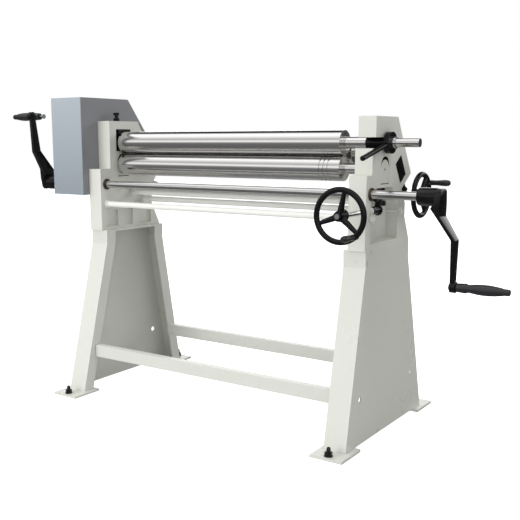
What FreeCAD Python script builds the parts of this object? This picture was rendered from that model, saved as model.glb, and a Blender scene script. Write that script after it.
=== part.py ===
import FreeCAD, Part
import Sketcher
import math
import os
import re

# Slip roll machine: two geared pinch rolls, an adjustable rear roll and a welded stand.
# X runs along the rolls, gear side at -X. Y runs from the front to the back, Z is up.
# The origin lies on the floor at the centre of the four foot holes. Lengths are in mm.

doc = FreeCAD.newDocument("slip_roll")
sheet = doc.addObject("Spreadsheet::Sheet", "sizes")

driving_sizes = {
    # heights of the rolls over the stand, and what is measured from the upper roll
    "frame_base": 690, "roll_up": 367, "frame_over": 90, "ledge_under": 109,
    "heel_under": 157, "waist_under": 207, "drive_under": 173, "front_tie_under": 256,
    "mid_tie_under": 213, "rear_tie_under": 247, "cover_over": 186, "cover_slope_drop": 155,
    # side frames
    "frame_gap": 1155, "frame_thick": 66, "web_thick": 20, "low_front": -189,
    "block_front": -148, "top_front": -127, "top_rear": 54, "wing_start": -22,
    "wing_reach": 150, "wing_out": 70, "heel_rear": 168, "waist_rear": 142, "waist_up": 97,
    "frame_rear": 191, "hip_up": 6, "recess_up": 22, "recess_rear": 25, "recess_slant": 55,
    "recess_drop": 82, "pocket_deep": 10, "pocket_up": 13, "pocket_high": 69,
    "front_pocket": -164, "front_pocket_wide": 78, "front_pocket_lean": 59,
    "mid_pocket": -50, "mid_pocket_wide": 60, "rear_pocket": 48, "rear_pocket_wide": 86,
    "cross_boss": 36, "cross_boss_len": 14, "tie_lug": 40, "notch_clear": 8,
    # rolls
    "roll_dia": 90, "roll_len": 1050, "roll_end_gap": 13, "roll_back": -45,
    "nip": 1.5, "rear_clear": 5.5, "rear_drop": 35,
    "neck_dia": 40, "right_neck_dia": 42, "right_neck_len": 89, "shaft_dia": 30,
    "upper_shaft_end": 768, "gear_seat": 28, "gear_seat_past": 4, "neck_past": 2,
    "groove_deep": 3, "groove_wide": 6, "groove_pitch": 17, "groove_inset": 46,
    "rear_journal": 34, "rear_journal_len": 34,
    # bearings and their seats
    "slot_wide": 68, "slot_under": 51.5, "slot_floor": 12, "arch_room": 11, "lift_up": 1,
    "lift_down": 2, "blind_wall": 15, "oil_hole": 8, "thread_deep": 23, "collar_seat_deep": 8,
    "window_front": -86, "window_rear": 6, "window_under": 36, "window_over": 56,
    "swivel_front": -73, "swivel_rear": -1, "arm_thick": 7, "arm_wide": 24, "arm_root": 10,
    "bracket_wide": 36, "bracket_thick": 14, "bracket_past": 20, "pad_thick": 8,
    "pad_wide": 60, "pad_high": 30,
    "seat_dia": 46, "mouth_high": 36, "slot_tilt": 34, "rear_slot_wide": 57,
    "rear_slot_up": 48, "rear_slot_down": 116, "rear_block_half": 30,
    "fit": 0.1, "slide_gap": 0.3, "face_gap": 0.3,
    "clamp_dia": 16, "clamp_free": 26, "clamp_head_thick": 10,
    # latch
    "latch_inset": 1, "flange_dia": 75, "flange_thick": 20, "flange_off": 5.5,
    "lever_dia": 18, "lever_len": 226, "lever_droop": 13, "lever_seat": 3, "lever_round": 5,
    "collar_dia": 40, "collar_thick": 14,
    # drive shaft and gear train
    "drive_back": -153, "drive_boss": 46, "bush_dia": 40, "bush_flange": 45,
    "bush_flange_thick": 4, "pinion_teeth": 18, "wheel_teeth": 48, "couple_teeth": 20,
    "gear_face": 16, "wheel_face": 20, "pinion_wider": 4, "couple_out": 20.5,
    "wheel_out": 46, "tooth_play": 0.5,
    # lift drive under the lower roll
    "right_spindle_out": 52.5, "left_spindle_out": 44, "spindle_dia": 20, "collar_step": 3,
    "lift_collar_len": 6, "lift_hub": 28, "lift_hub_len": 8.2, "lift_gear_room": 2.5,
    "lift_core": 14, "screw_engage": 18, "mitre_radius": 20, "mitre_teeth": 16, "mitre_face": 9,
    "mitre_back": 6, "shaft_end_off": 14, "cross_dia": 16, "hand_shaft_dia": 18, "hand_boss": 28,
    "hand_boss_len": 23, "hand_hub_len": 47,
    # handwheels
    "hand_wheel_plane": -354, "hand_wheel_dia": 186, "rear_wheel_out": 57,
    "rear_wheel_dia": 164, "rim_thick": 17, "wheel_hub_back_dia": 44,
    "wheel_hub_front_dia": 34, "wheel_hub_back": 22, "wheel_hub_front": 14, "shaft_in_nut": 1,
    "spoke_root": 23.8, "spoke_tip": 13.6, "front_spoke_angle": 80, "rear_spoke_angle": 30,
    "wheel_grip_len": 75, "wheel_grip_dia": 23, "front_grip_angle": -50, "rear_grip_angle": 35,
    # rear roll drive
    "rear_apex": 186, "rear_floor": 24, "rear_spindle_dia": 16, "rear_collar_len": 7,
    "rear_screw_past": 6,
    # cranks
    "crank_radius": 290, "crank_hub_dia": 54, "crank_hub_len": 85, "crank_hub_wall": 5,
    "crank_offset": 43, "crank_bend_start": 48, "crank_bend_mid": 104,
    "crank_bend_end": 140, "crank_straight": 200, "crank_arm_thick": 18,
    "crank_arm_wide": 28, "crank_in_right": 818, "crank_in_left": 862, "crank_lean": 6,
    "grip_len": 172, "grip_dia": 32, "grip_gap": 1,
    "eye_dia": 36, "eye_thick": 20, "eye_seat": 24, "eye_seat_len": 8, "pin_dia": 12,
    "pin_head": 20, "pin_head_thick": 5, "swivel_head_thick": 4, "pin_share": 0.85,
    # tie bars
    "tie_dia": 24, "tie_collar": 34, "tie_collar_len": 8, "tie_stud": 16, "stud_past": 3,
    "mid_tie_back": 14, "rear_tie_back": 86,
    "nut_wide": 27, "nut_thick": 13, "small_nut": 24, "small_nut_thick": 9,
    # gear cover
    "cover_front": -225, "cover_rear": 195, "cover_under": 45, "cover_slope_back": 68,
    "cover_deep": 172, "cover_wall": 2, "plate_thick": 3, "cover_hole_gap": 2,
    "plate_opening_wide": 120, "plate_opening_over": 34,
    # stand
    "leg_wall": 6, "leg_wide": 86, "leg_lip": 53, "leg_front_top": -180,
    "leg_rear_top": 190, "leg_front_low": -329, "leg_rear_low": 331, "leg_neck": 58,
    "leg_splay": 18, "leg_cap": 8, "foot_thick": 10, "foot_wide": 124, "foot_long": 144,
    "foot_spacing": 658, "foot_hole": 18, "foot_inset": 15, "foot_shift": 3,
    "rail_high": 50, "rail_deep": 30, "rail_wall": 4, "rail_base": 154,
    "front_rail_front": -260, "rear_rail_front": 230, "leg_hole": 22,
    "leg_hole_high": 173, "leg_hole_in": 111,
}

# Places that follow from the driving sizes
following_sizes = {
    "upper_roll_high": "frame_base + roll_up",
    "lower_roll_high": "upper_roll_high - roll_dia - nip",
    "frame_top": "upper_roll_high + frame_over",
    "ledge_height": "upper_roll_high - ledge_under",
    "heel_height": "upper_roll_high - heel_under",
    "waist_top": "upper_roll_high - waist_under",
    "waist_low": "frame_base + waist_up",
    "hip_height": "frame_base + hip_up",
    "pocket_base": "frame_base + pocket_up",
    "pocket_top": "pocket_base + pocket_high",
    "slot_base": "lower_roll_high - slot_under",
    "recess_top": "slot_base - slot_floor",
    "recess_base": "frame_base + recess_up",
    "window_base": "upper_roll_high - window_under",
    "window_top": "upper_roll_high + window_over",
    "drive_high": "upper_roll_high - drive_under",
    "front_tie_back": "drive_back",
    "front_tie_high": "upper_roll_high - front_tie_under",
    "mid_tie_high": "upper_roll_high - mid_tie_under",
    "rear_tie_high": "upper_roll_high - rear_tie_under",
    "gear_back": "mitre_radius + mitre_back / 2",
    "cross_high": "recess_top - face_gap - lift_hub_len - lift_gear_room - mitre_radius",
    "hand_high": "cross_high - 2 * mitre_radius - mitre_back",
    "cover_base": "drive_high - cover_under",
    "cover_top": "upper_roll_high + cover_over",
    "cover_slope_high": "cover_top - cover_slope_drop",
    "leg_knee": "frame_base - leg_neck",
    "hand_shaft_past": "wheel_hub_front + small_nut_thick - shaft_in_nut",
    "cross_shaft_past": "wheel_hub_front + small_nut_thick + shaft_in_nut",
}

for row, (name, number) in enumerate(driving_sizes.items(), start=1):
    sheet.set(f"A{row}", name.replace("_", " "))
    sheet.set(f"B{row}", str(number))
    sheet.setAlias(f"B{row}", name)
doc.recompute()


def formula(text):
    """Point every size named in the text at its cell in the sheet."""
    def point(word):
        name = word.group()
        if name in following_sizes:
            return f"({formula(following_sizes[name])})"
        return f"sizes.{name}" if name in driving_sizes else name

    return re.sub(r"[a-z_][a-z0-9_]*", point, str(text))


def value(text):
    """The number that a formula gives now."""
    return float(sheet.evalExpression(formula(text)))


inner = "frame_gap / 2"
outer = "(frame_gap / 2 + frame_thick)"
web = "(frame_gap / 2 + web_thick)"
rear_back = "(roll_back + roll_dia + rear_clear)"
rear_high = "(upper_roll_high - rear_drop)"
roll_start = "(-frame_gap / 2 + roll_end_gap)"
clamp_x = f"(-{outer} + frame_thick / 2)"
block_half = "(slot_wide / 2 - slide_gap)"
block_base = "(slot_base + lift_down + 1)"
couple_module = "((roll_dia + nip - lift_up - tooth_play) / couple_teeth)"
drive_down = "(lower_roll_high - lift_down - drive_high)"
drive_module = (
    f"((sqrt(pow(drive_back - roll_back; 2) + pow({drive_down}; 2)) - tooth_play)"
    " * 2 / (pinion_teeth + wheel_teeth))"
)
couple_x = f"(-{outer} - couple_out)"
wheel_x = f"(-{outer} - wheel_out)"


def along(down, out):
    """A point in Y and Z, measured down the slanted slot and out of it from the rear roll."""
    back = f"{rear_back} + ({down}) * sin(slot_tilt) + ({out}) * cos(slot_tilt)"
    high = f"{rear_high} - ({down}) * cos(slot_tilt) + ({out}) * sin(slot_tilt)"
    return back, high


apex_back, apex_high = along("rear_apex", 0)


def spindle_out(side):
    """How far outside a frame's inner face its lift screws stand."""
    return "right_spindle_out" if side > 0 else "left_spindle_out"


def spindle_x(side):
    return f"({side} * (frame_gap / 2 + {spindle_out(side)}))"


def put(item, at, turn=None):
    """Bind a piece's place to the sheet, with an optional fixed turn."""
    if turn:
        item.Placement = FreeCAD.Placement(FreeCAD.Vector(), turn)
    for axis, text in zip("xyz", at):
        item.setExpression(f"Placement.Base.{axis}", formula(text))
    return item


turns = {
    "Z": FreeCAD.Rotation(),
    "-Z": FreeCAD.Rotation(FreeCAD.Vector(1, 0, 0), 180),
    "X": FreeCAD.Rotation(FreeCAD.Vector(0, 1, 0), 90),
    "-X": FreeCAD.Rotation(FreeCAD.Vector(0, 1, 0), -90),
    "Y": FreeCAD.Rotation(FreeCAD.Vector(1, 0, 0), -90),
    "-Y": FreeCAD.Rotation(FreeCAD.Vector(1, 0, 0), 90),
}


def leaning(item, at, angle="slot_tilt"):
    """Place a piece whose own Z leans to the front by an angle, as the slanted slot does."""
    put(item, at, FreeCAD.Rotation(FreeCAD.Vector(1, 0, 0), 1))
    item.setExpression("Placement.Rotation.Angle", formula(angle))
    return item


def box(name, lengths, at):
    item = doc.addObject("Part::Box", name)
    for side, text in zip(("Length", "Width", "Height"), lengths):
        item.setExpression(side, formula(text))
    return put(item, at)


def cylinder(name, dia, length, at, axis="X"):
    item = doc.addObject("Part::Cylinder", name)
    item.setExpression("Radius", formula(f"({dia}) / 2"))
    item.setExpression("Height", formula(length))
    return put(item, at, turns[axis])


def hexagon(name, across, length, at, axis="X"):
    item = doc.addObject("Part::Prism", name)
    item.Polygon = 6
    item.setExpression("Circumradius", formula(f"({across}) / 2 / cos(30)"))
    item.setExpression("Height", formula(length))
    return put(item, at, turns[axis])


def cut(name, base, tool):
    item = doc.addObject("Part::Cut", name)
    item.Base = base
    item.Tool = tool
    return item


def fuse(name, shapes):
    item = doc.addObject("Part::MultiFuse", name)
    item.Shapes = shapes
    return item


def group(name, shapes):
    item = doc.addObject("Part::Compound", name)
    item.Links = shapes
    return item


def body(name, at=("0", "0", "0"), axis="Z"):
    return put(doc.addObject("PartDesign::Body", name), at, turns[axis])


def sketch(owner, name, plane, offset="0"):
    item = owner.newObject("Sketcher::SketchObject", name)
    planes = {feature.Role: feature for feature in owner.Origin.OriginFeatures}
    item.AttachmentSupport = (planes[plane], [""])
    item.MapMode = "FlatFace"
    item.setExpression("AttachmentOffset.Base.z", formula(offset))
    return item


def hold(item, kind, label, first, point, text):
    """Constrain one coordinate or radius of a sketch and bind it to the sheet."""
    if kind == "Radius":
        made = item.addConstraint(Sketcher.Constraint(kind, first, value(text)))
    else:
        made = item.addConstraint(Sketcher.Constraint(kind, -1, 1, first, point, value(text)))
    item.renameConstraint(made, label)
    item.setExpression(f"Constraints.{label}", formula(text))


def outline(item, points):
    """Draw a closed outline through points whose coordinates are formulas."""
    start = item.GeometryCount
    count = len(points)
    spots = [FreeCAD.Vector(value(across), value(up), 0) for across, up in points]
    for index, spot in enumerate(spots):
        item.addGeometry(Part.LineSegment(spot, spots[(index + 1) % count]), False)
    for index, (across, up) in enumerate(points):
        here = start + index
        item.addConstraint(Sketcher.Constraint("Coincident", here, 2, start + (index + 1) % count, 1))
        hold(item, "DistanceX", f"across{here}", here, 1, across)
        hold(item, "DistanceY", f"up{here}", here, 1, up)
    return item


def ring(item, across, up, radius):
    """Draw a circle in a sketch."""
    centre = FreeCAD.Vector(value(across), value(up), 0)
    here = item.addGeometry(Part.Circle(centre, FreeCAD.Vector(0, 0, 1), value(radius)), False)
    hold(item, "DistanceX", f"across{here}", here, 3, across)
    hold(item, "DistanceY", f"up{here}", here, 3, up)
    hold(item, "Radius", f"round{here}", here, 3, radius)
    return item


def add(owner, name, drawn, length):
    """Pad a sketch along its plane's normal."""
    item = owner.newObject("PartDesign::Pad", name)
    item.Profile = drawn
    item.setExpression("Length", formula(length))
    return item


def sink(owner, name, drawn, depth):
    """Cut a sketch's shape along its plane's normal."""
    item = owner.newObject("PartDesign::Pocket", name)
    item.Profile = drawn
    item.Reversed = True
    item.setExpression("Length", formula(depth))
    return item


def turned(name, profile, at, axis="Z"):
    """A round piece: a profile of (along the axis, radius) pairs spun about its axis."""
    owner = body(name, at, axis)
    drawn = sketch(owner, f"{name}_profile", "XZ_Plane")
    outline(drawn, [(radius, place) for place, radius in profile])
    spin = owner.newObject("PartDesign::Revolution", f"{name}_spin")
    spin.Profile = drawn
    spin.ReferenceAxis = (drawn, ["V_Axis"])
    spin.Angle = 360
    return owner


def stepped(steps, bore=None):
    """A turned profile from (end, diameter) steps that start at the first place given."""
    inside = f"({bore}) / 2" if bore else "0"
    place = steps[0]
    profile = [(place, inside)]
    for end, dia in steps[1:]:
        profile.append((place, f"({dia}) / 2"))
        profile.append((end, f"({dia}) / 2"))
        place = end
    profile.append((place, inside))
    return profile


# ---- stand ---------------------------------------------------------------------------


def leg(side):
    """A folded sheet leg, open towards the middle, with lips and a welded top plate."""
    name = "leg_right" if side > 0 else "leg_left"
    owner = body(name)
    levels = (
        ("foot_thick", "leg_front_low", "leg_rear_low", "leg_splay"),
        ("leg_knee", "leg_front_top", "leg_rear_top", "leg_splay * leg_neck / frame_base"),
        ("frame_base - leg_cap", "leg_front_top", "leg_rear_top", "0"),
    )
    drawn = []
    for index, (height, front, rear, splay) in enumerate(levels):
        far = f"{side} * ({outer} + {splay})"
        near = f"{side} * ({outer} + {splay} - leg_wide)"
        wall = f"{side} * leg_wall"
        item = sketch(owner, f"{name}_level{index}", "XY_Plane", height)
        outline(item, [
            (far, front), (far, rear), (near, rear), (near, f"{rear} - leg_lip"),
            (f"{near} + {wall}", f"{rear} - leg_lip"), (f"{near} + {wall}", f"{rear} - leg_wall"),
            (f"{far} - {wall}", f"{rear} - leg_wall"), (f"{far} - {wall}", f"{front} + leg_wall"),
            (f"{near} + {wall}", f"{front} + leg_wall"), (f"{near} + {wall}", f"{front} + leg_lip"),
            (near, f"{front} + leg_lip"), (near, front),
        ])
        drawn.append(item)
    folded = owner.newObject("PartDesign::AdditiveLoft", f"{name}_folded")
    folded.Profile = drawn[0]
    folded.Sections = drawn[1:]
    folded.Ruled = True
    cap = outline(sketch(owner, f"{name}_cap", "XY_Plane", "frame_base - leg_cap"), [
        (f"{side} * {outer}", "leg_front_top"), (f"{side} * {outer}", "leg_rear_top"),
        (f"{side} * ({outer} - leg_wide)", "leg_rear_top"),
        (f"{side} * ({outer} - leg_wide)", "leg_front_top"),
    ])
    add(owner, f"{name}_top", cap, "leg_cap")
    holes = sketch(owner, f"{name}_holes", "YZ_Plane", f"{side} * {outer} - leg_splay * 2")
    ring(holes, "leg_front_low + leg_hole_in", "leg_hole_high", "leg_hole / 2")
    ring(holes, "leg_rear_low - leg_hole_in", "leg_hole_high", "leg_hole / 2")
    sink(owner, f"{name}_access", holes, "leg_splay * 4")
    return owner


def foot_plates():
    plates = []
    for name, x, y in feet():
        plate = box(f"{name}_blank", ("foot_wide", "foot_long", "foot_thick"),
                    (f"{x} - foot_wide / 2", f"{y} - foot_long / 2", "0"))
        hole = cylinder(f"{name}_hole", "foot_hole", "foot_thick + 2", (x, foot_hole_y(y), "-1"), "Z")
        plates.append(cut(name, plate, hole))
    return group("foot_plates", plates)


def feet():
    """Name and centre of each foot plate."""
    places = []
    for side_name, side in (("left", -1), ("right", 1)):
        for end_name, end in (("front", -1), ("rear", 1)):
            x = f"{side} * ({outer} + leg_splay - leg_wide / 2 + foot_shift)"
            places.append((f"foot_{end_name}_{side_name}", x, f"{end} * foot_spacing / 2"))
    return places


def foot_hole_y(centre):
    """The hole lies in the part of the plate that reaches out past the leg."""
    end = "-1" if centre.startswith("-1") else "1"
    return f"{end} * (foot_spacing / 2 + foot_long / 2 - foot_inset - foot_hole / 2)"


def rail(name, front):
    """A channel rail between the legs, its web to the front."""
    half = f"({outer} - leg_wide + leg_splay * (frame_base - rail_base) / frame_base)"
    owner = body(name, (f"-{half} + leg_wall / 2", "0", "0"))
    drawn = outline(sketch(owner, f"{name}_section", "YZ_Plane"), [
        (front, "rail_base"), (f"{front} + rail_deep", "rail_base"),
        (f"{front} + rail_deep", "rail_base + rail_wall"),
        (f"{front} + rail_wall", "rail_base + rail_wall"),
        (f"{front} + rail_wall", "rail_base + rail_high - rail_wall"),
        (f"{front} + rail_deep", "rail_base + rail_high - rail_wall"),
        (f"{front} + rail_deep", "rail_base + rail_high"), (front, "rail_base + rail_high"),
    ])
    add(owner, f"{name}_bar", drawn, f"2 * {half} - leg_wall")
    return owner


leg(-1)
leg(1)
foot_plates()
rail("rail_front", "front_rail_front")
rail("rail_rear", "rear_rail_front")
doc.recompute()


# ---- side frames ---------------------------------------------------------------------


def side_frame(side):
    """A cast side frame: thick round the bearings, webbed below, open for the gears."""
    name = "frame_right" if side > 0 else "frame_left"
    start = inner if side > 0 else f"-{outer}"
    owner = body(name, (start, "0", "0"))
    # local X of the outer recess and of the inner pockets
    recess = "web_thick" if side > 0 else "0"
    open_side = "frame_thick - web_thick"
    pocket = "0" if side > 0 else "frame_thick - pocket_deep"
    web_at = "0" if side > 0 else "frame_thick - web_thick"

    front = [("low_front", "frame_base"), ("low_front", "ledge_height")]
    if side > 0:
        front += [("block_front", "ledge_height"), ("block_front", "upper_roll_high")]
        front += [("top_front", "upper_roll_high")]
    else:
        front += [("top_front", "ledge_height")]
    shape = front + [
        ("top_front", "frame_top"), ("top_rear", "frame_top"), along("wing_start", "wing_out"),
        along("wing_reach", "wing_out"), ("heel_rear", "heel_height"), ("waist_rear", "waist_top"),
        ("waist_rear", "waist_low"), ("frame_rear", "hip_height"), ("frame_rear", "frame_base"),
    ]
    add(owner, f"{name}_blank", outline(sketch(owner, f"{name}_outline", "YZ_Plane"), shape), "frame_thick")

    bosses = sketch(owner, f"{name}_boss_ring", "YZ_Plane", "-cross_boss_len" if side > 0 else web_at)
    ring(bosses, apex_back, apex_high, "cross_boss / 2")
    add(owner, f"{name}_cross_boss", bosses, "web_thick + cross_boss_len")

    hollow = sketch(owner, f"{name}_recess_line", "YZ_Plane", recess)
    outline(hollow, [
        ("block_front", "recess_base"), ("block_front", "recess_top"), ("recess_rear", "recess_top"),
        ("recess_rear + recess_slant", "recess_top - recess_drop"),
        ("recess_rear + recess_slant", "recess_base"),
    ])
    sink(owner, f"{name}_recess", hollow, open_side)
    lugs = sketch(owner, f"{name}_lug_rings", "YZ_Plane", recess)
    ring(lugs, "drive_back", "drive_high", "drive_boss / 2")
    add(owner, f"{name}_drive_lug", lugs, open_side)
    lugs = sketch(owner, f"{name}_tie_ring", "YZ_Plane", recess)
    ring(lugs, "front_tie_back", "front_tie_high", "tie_lug / 2")
    add(owner, f"{name}_tie_lug", lugs, open_side)

    if side > 0:
        boss = sketch(owner, f"{name}_hand_ring", "XZ_Plane", "-(block_front + hand_boss_len)")
        ring(boss, spindle_out(side), "hand_high", "hand_boss / 2")
        add(owner, f"{name}_hand_boss", boss, "hand_boss_len")

    notch = sketch(owner, f"{name}_notch_line", "YZ_Plane", recess)
    near, far = "-(mitre_radius + notch_clear)", "wing_out + mitre_radius + notch_clear"
    roof, base = "rear_slot_down + rear_floor", "rear_apex + mitre_radius + notch_clear"
    outline(notch, [along(roof, near), along(roof, far), along(base, far), along(base, near)])
    sink(owner, f"{name}_notch", notch, open_side)

    slot = sketch(owner, f"{name}_slot_line", "YZ_Plane")
    arch = f"(lower_roll_high + arch_room)"
    outline(slot, [
        ("roll_back - slot_wide / 2", "slot_base"), ("roll_back + slot_wide / 2", "slot_base"),
        ("roll_back + slot_wide / 2", arch), ("roll_back - slot_wide / 2", arch),
    ])
    sink(owner, f"{name}_slot", slot, "frame_thick")
    arch_line = ring(sketch(owner, f"{name}_arch_line", "YZ_Plane"), "roll_back", arch, "slot_wide / 2")
    sink(owner, f"{name}_arch", arch_line, "frame_thick")
    slant = sketch(owner, f"{name}_slant_line", "YZ_Plane")
    outline(slant, [
        along("-rear_slot_up", "-rear_slot_wide / 2"), along("-rear_slot_up", "rear_slot_wide / 2"),
        along("rear_slot_down", "rear_slot_wide / 2"), along("rear_slot_down", "-rear_slot_wide / 2"),
    ])
    sink(owner, f"{name}_slant", slant, "frame_thick")

    if side > 0:
        seat = sketch(owner, f"{name}_seat_ring", "YZ_Plane")
        ring(seat, "roll_back", "upper_roll_high", "seat_dia / 2")
        sink(owner, f"{name}_seat", seat, "frame_thick")
        mouth = outline(sketch(owner, f"{name}_mouth_line", "YZ_Plane"), [
            ("block_front - 1", "upper_roll_high - mouth_high / 2"),
            ("roll_back", "upper_roll_high - mouth_high / 2"),
            ("roll_back", "upper_roll_high + mouth_high / 2"),
            ("block_front - 1", "upper_roll_high + mouth_high / 2"),
        ])
        sink(owner, f"{name}_mouth", mouth, "frame_thick")
    else:
        window = outline(sketch(owner, f"{name}_window_line", "YZ_Plane"), [
            ("window_front", "window_base"), ("window_rear", "window_base"),
            ("window_rear", "window_top"), ("window_front", "window_top"),
        ])
        sink(owner, f"{name}_window", window, "frame_thick")

    holes = sketch(owner, f"{name}_through_rings", "YZ_Plane")
    ring(holes, "drive_back", "drive_high", "bush_dia / 2")
    for tie in ("front_tie", "mid_tie", "rear_tie"):
        ring(holes, f"{tie}_back", f"{tie}_high", "tie_stud / 2")
    sink(owner, f"{name}_through", holes, "frame_thick")
    web_holes = sketch(owner, f"{name}_web_rings", "YZ_Plane",
                       "-cross_boss_len - 1" if side > 0 else f"{web_at} - 1")
    ring(web_holes, "roll_back", "cross_high", "cross_dia / 2 + fit / 2")
    ring(web_holes, apex_back, apex_high, "cross_dia / 2 + fit / 2")
    sink(owner, f"{name}_web_holes", web_holes, "web_thick + cross_boss_len + 2")

    relief = sketch(owner, f"{name}_pocket_lines", "YZ_Plane", pocket)
    for place, lean in (("front_pocket", "front_pocket_lean"), ("mid_pocket", "0"), ("rear_pocket", "0")):
        outline(relief, [
            (place, "pocket_base"), (f"{place} + {place}_wide", "pocket_base"),
            (f"{place} + {place}_wide", "pocket_top"), (f"{place} + {lean}", "pocket_top"),
        ])
    sink(owner, f"{name}_pockets", relief, "pocket_deep")
    return owner


def frame_with_bores(side):
    """The side frame with the bores for the screws and, on the right, the handwheel shaft."""
    casting = side_frame(side)
    name = casting.Name
    casting.Label = f"{name}_casting"
    x = spindle_x(side)
    tools = [cylinder(f"{name}_lift_bore", "spindle_dia + fit", "slot_base - recess_top + 2",
                      (x, "roll_back", "recess_top - 1"), "Z")]
    back, high = along("rear_slot_down + rear_floor + 1", 0)
    bore = doc.addObject("Part::Cylinder", f"{name}_rear_bore")
    bore.setExpression("Radius", formula("(rear_spindle_dia + fit) / 2"))
    bore.setExpression("Height", formula("rear_floor + 2"))
    tools.append(leaning(bore, (x, back, high)))
    if side > 0:
        tools.append(cylinder(f"{name}_hand_bore", "hand_shaft_dia + fit",
                              "block_front - low_front + hand_boss_len + 2",
                              (x, "low_front - 1", "hand_high"), "Y"))
    else:
        tools.append(cylinder(f"{name}_clamp_bore", "clamp_dia", "frame_top - window_top + 2",
                              (clamp_x, "roll_back", "window_top - 1"), "Z"))
    tool = fuse(f"{name}_bores", tools)
    made = cut(f"{name}_machined", casting, tool)
    made.Label = name
    return made


frame_with_bores(-1)
frame_with_bores(1)
doc.recompute()

# ---- tie bars ------------------------------------------------------------------------


def tie_bar(name, place, nut_seat):
    """A tie bar with a collar and a threaded end at each frame."""
    half_seat = f"({nut_seat} + nut_thick + stud_past)"
    profile = stepped([
        f"-{half_seat}", (f"-{inner}", "tie_stud - fit"), (f"-{inner} + tie_collar_len", "tie_collar"),
        (f"{inner} - tie_collar_len", "tie_dia"), (inner, "tie_collar"), (half_seat, "tie_stud - fit"),
    ])
    return turned(name, profile, ("0", f"{place}_back", f"{place}_high"), "X")


def tie_nuts():
    nuts = []
    for place, seat in (("front_tie", outer), ("mid_tie", web), ("rear_tie", outer)):
        for side_name, x in (("left", f"-{seat} - nut_thick"), ("right", seat)):
            blank = hexagon(f"{place}_{side_name}_hex", "nut_wide", "nut_thick",
                            (x, f"{place}_back", f"{place}_high"))
            hole = cylinder(f"{place}_{side_name}_thread", "tie_stud - fit", "nut_thick + 2",
                            (f"{x} - 1", f"{place}_back", f"{place}_high"))
            nuts.append(cut(f"{place}_{side_name}_nut", blank, hole))
    return group("tie_nuts", nuts)


tie_bar("tie_bar_front", "front_tie", outer)
tie_bar("tie_bar_middle", "mid_tie", web)
tie_bar("tie_bar_rear", "rear_tie", outer)
tie_nuts()


# ---- gears ---------------------------------------------------------------------------


def spur(name, teeth, module, face, bore, at, phase):
    """A spur gear with a tooth at the phase angle, counted from straight down to the back."""
    owner = body(name, at, "X")
    pitch = f"({teeth} * {module} / 2)"
    root = f"({pitch} - 1.2 * {module} + 0.4)"
    tip = f"({pitch} + 0.55 * {module})"
    half = f"(pi * {module} * 0.17)"
    disc = ring(sketch(owner, f"{name}_root_line", "XY_Plane"), "0", "0", root)
    ring(disc, "0", "0", f"({bore}) / 2")
    add(owner, f"{name}_disc", disc, face)
    flank = sketch(owner, f"{name}_tooth_line", "XY_Plane")
    flank.AttachmentOffset = FreeCAD.Placement(FreeCAD.Vector(), turns["Z"])
    flank.AttachmentOffset.Rotation = FreeCAD.Rotation(FreeCAD.Vector(0, 0, 1), 1)
    flank.setExpression("AttachmentOffset.Rotation.Angle", formula(phase))
    outline(flank, [
        (f"{root} - 1", f"-{half} * 1.5"), (f"{pitch} - 0.5 * {module}", f"-{half} * 1.3"),
        (tip, f"-{half} * 0.62"), (tip, f"{half} * 0.62"),
        (f"{pitch} - 0.5 * {module}", f"{half} * 1.3"), (f"{root} - 1", f"{half} * 1.5"),
    ])
    tooth = add(owner, f"{name}_tooth", flank, face)
    pattern = owner.newObject("PartDesign::PolarPattern", f"{name}_teeth")
    pattern.Originals = [tooth]
    pattern.Axis = (flank, ["N_Axis"])
    pattern.Angle = 360
    pattern.setExpression("Occurrences", formula(teeth))
    owner.Tip = pattern
    return owner


def mitre_shape(bore, phase):
    """A mitre gear with its cone apex at the origin and its body on +Z."""
    radius = value("mitre_radius")
    teeth = int(value("mitre_teeth"))
    module = 2 * radius / teeth
    slope = math.sqrt(0.5)
    toe = 1 - value("mitre_face") * slope / radius
    raised, sunk = 0.5 * module * slope, 0.8 * module * slope
    back = radius + value("mitre_back") / 2
    blank = Part.makePolygon([
        FreeCAD.Vector(bore / 2, 0, toe * (radius + sunk)),
        FreeCAD.Vector(toe * (radius - sunk), 0, toe * (radius + sunk)),
        FreeCAD.Vector(radius - sunk, 0, radius + sunk),
        FreeCAD.Vector(radius - sunk, 0, back),
        FreeCAD.Vector(bore / 2, 0, back),
        FreeCAD.Vector(bore / 2, 0, toe * (radius + sunk)),
    ])
    shape = Part.Face(blank).revolve(FreeCAD.Vector(), FreeCAD.Vector(0, 0, 1), 360)
    thick = math.pi * module * 0.34
    section = [
        (radius - sunk - 0.4, thick * 0.75, radius + sunk + 0.4),
        (radius, thick * 0.5, radius),
        (radius + raised, thick * 0.3, radius - raised),
    ]
    spots = [FreeCAD.Vector(x, y, z) for x, y, z in section]
    spots += [FreeCAD.Vector(x, -y, z) for x, y, z in reversed(section)]
    heel = Part.makePolygon(spots + spots[:1])
    front = Part.makePolygon([spot * toe for spot in spots + spots[:1]])
    tooth = Part.makeLoft([heel, front], True, True)
    copies = []
    for index in range(teeth):
        copy = tooth.copy()
        copy.rotate(FreeCAD.Vector(), FreeCAD.Vector(0, 0, 1), 360 * (index + phase) / teeth)
        copies.append(copy)
    return shape.fuse(copies).removeSplitter()


def mitre(name, bore, phase, at, axis="Z", slant=False):
    """Place a mitre gear; on the rear roll's drive it turns with the slot's slant."""
    item = doc.addObject("Part::Feature", name)
    item.Shape = mitre_shape(value(bore), phase)
    turn = turns[axis]
    if slant:
        turn = FreeCAD.Rotation(FreeCAD.Vector(1, 0, 0), value("slot_tilt")) * turn
    return put(item, at, turn)


# ---- rolls ---------------------------------------------------------------------------

roll_end = f"({roll_start} + roll_len)"


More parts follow.
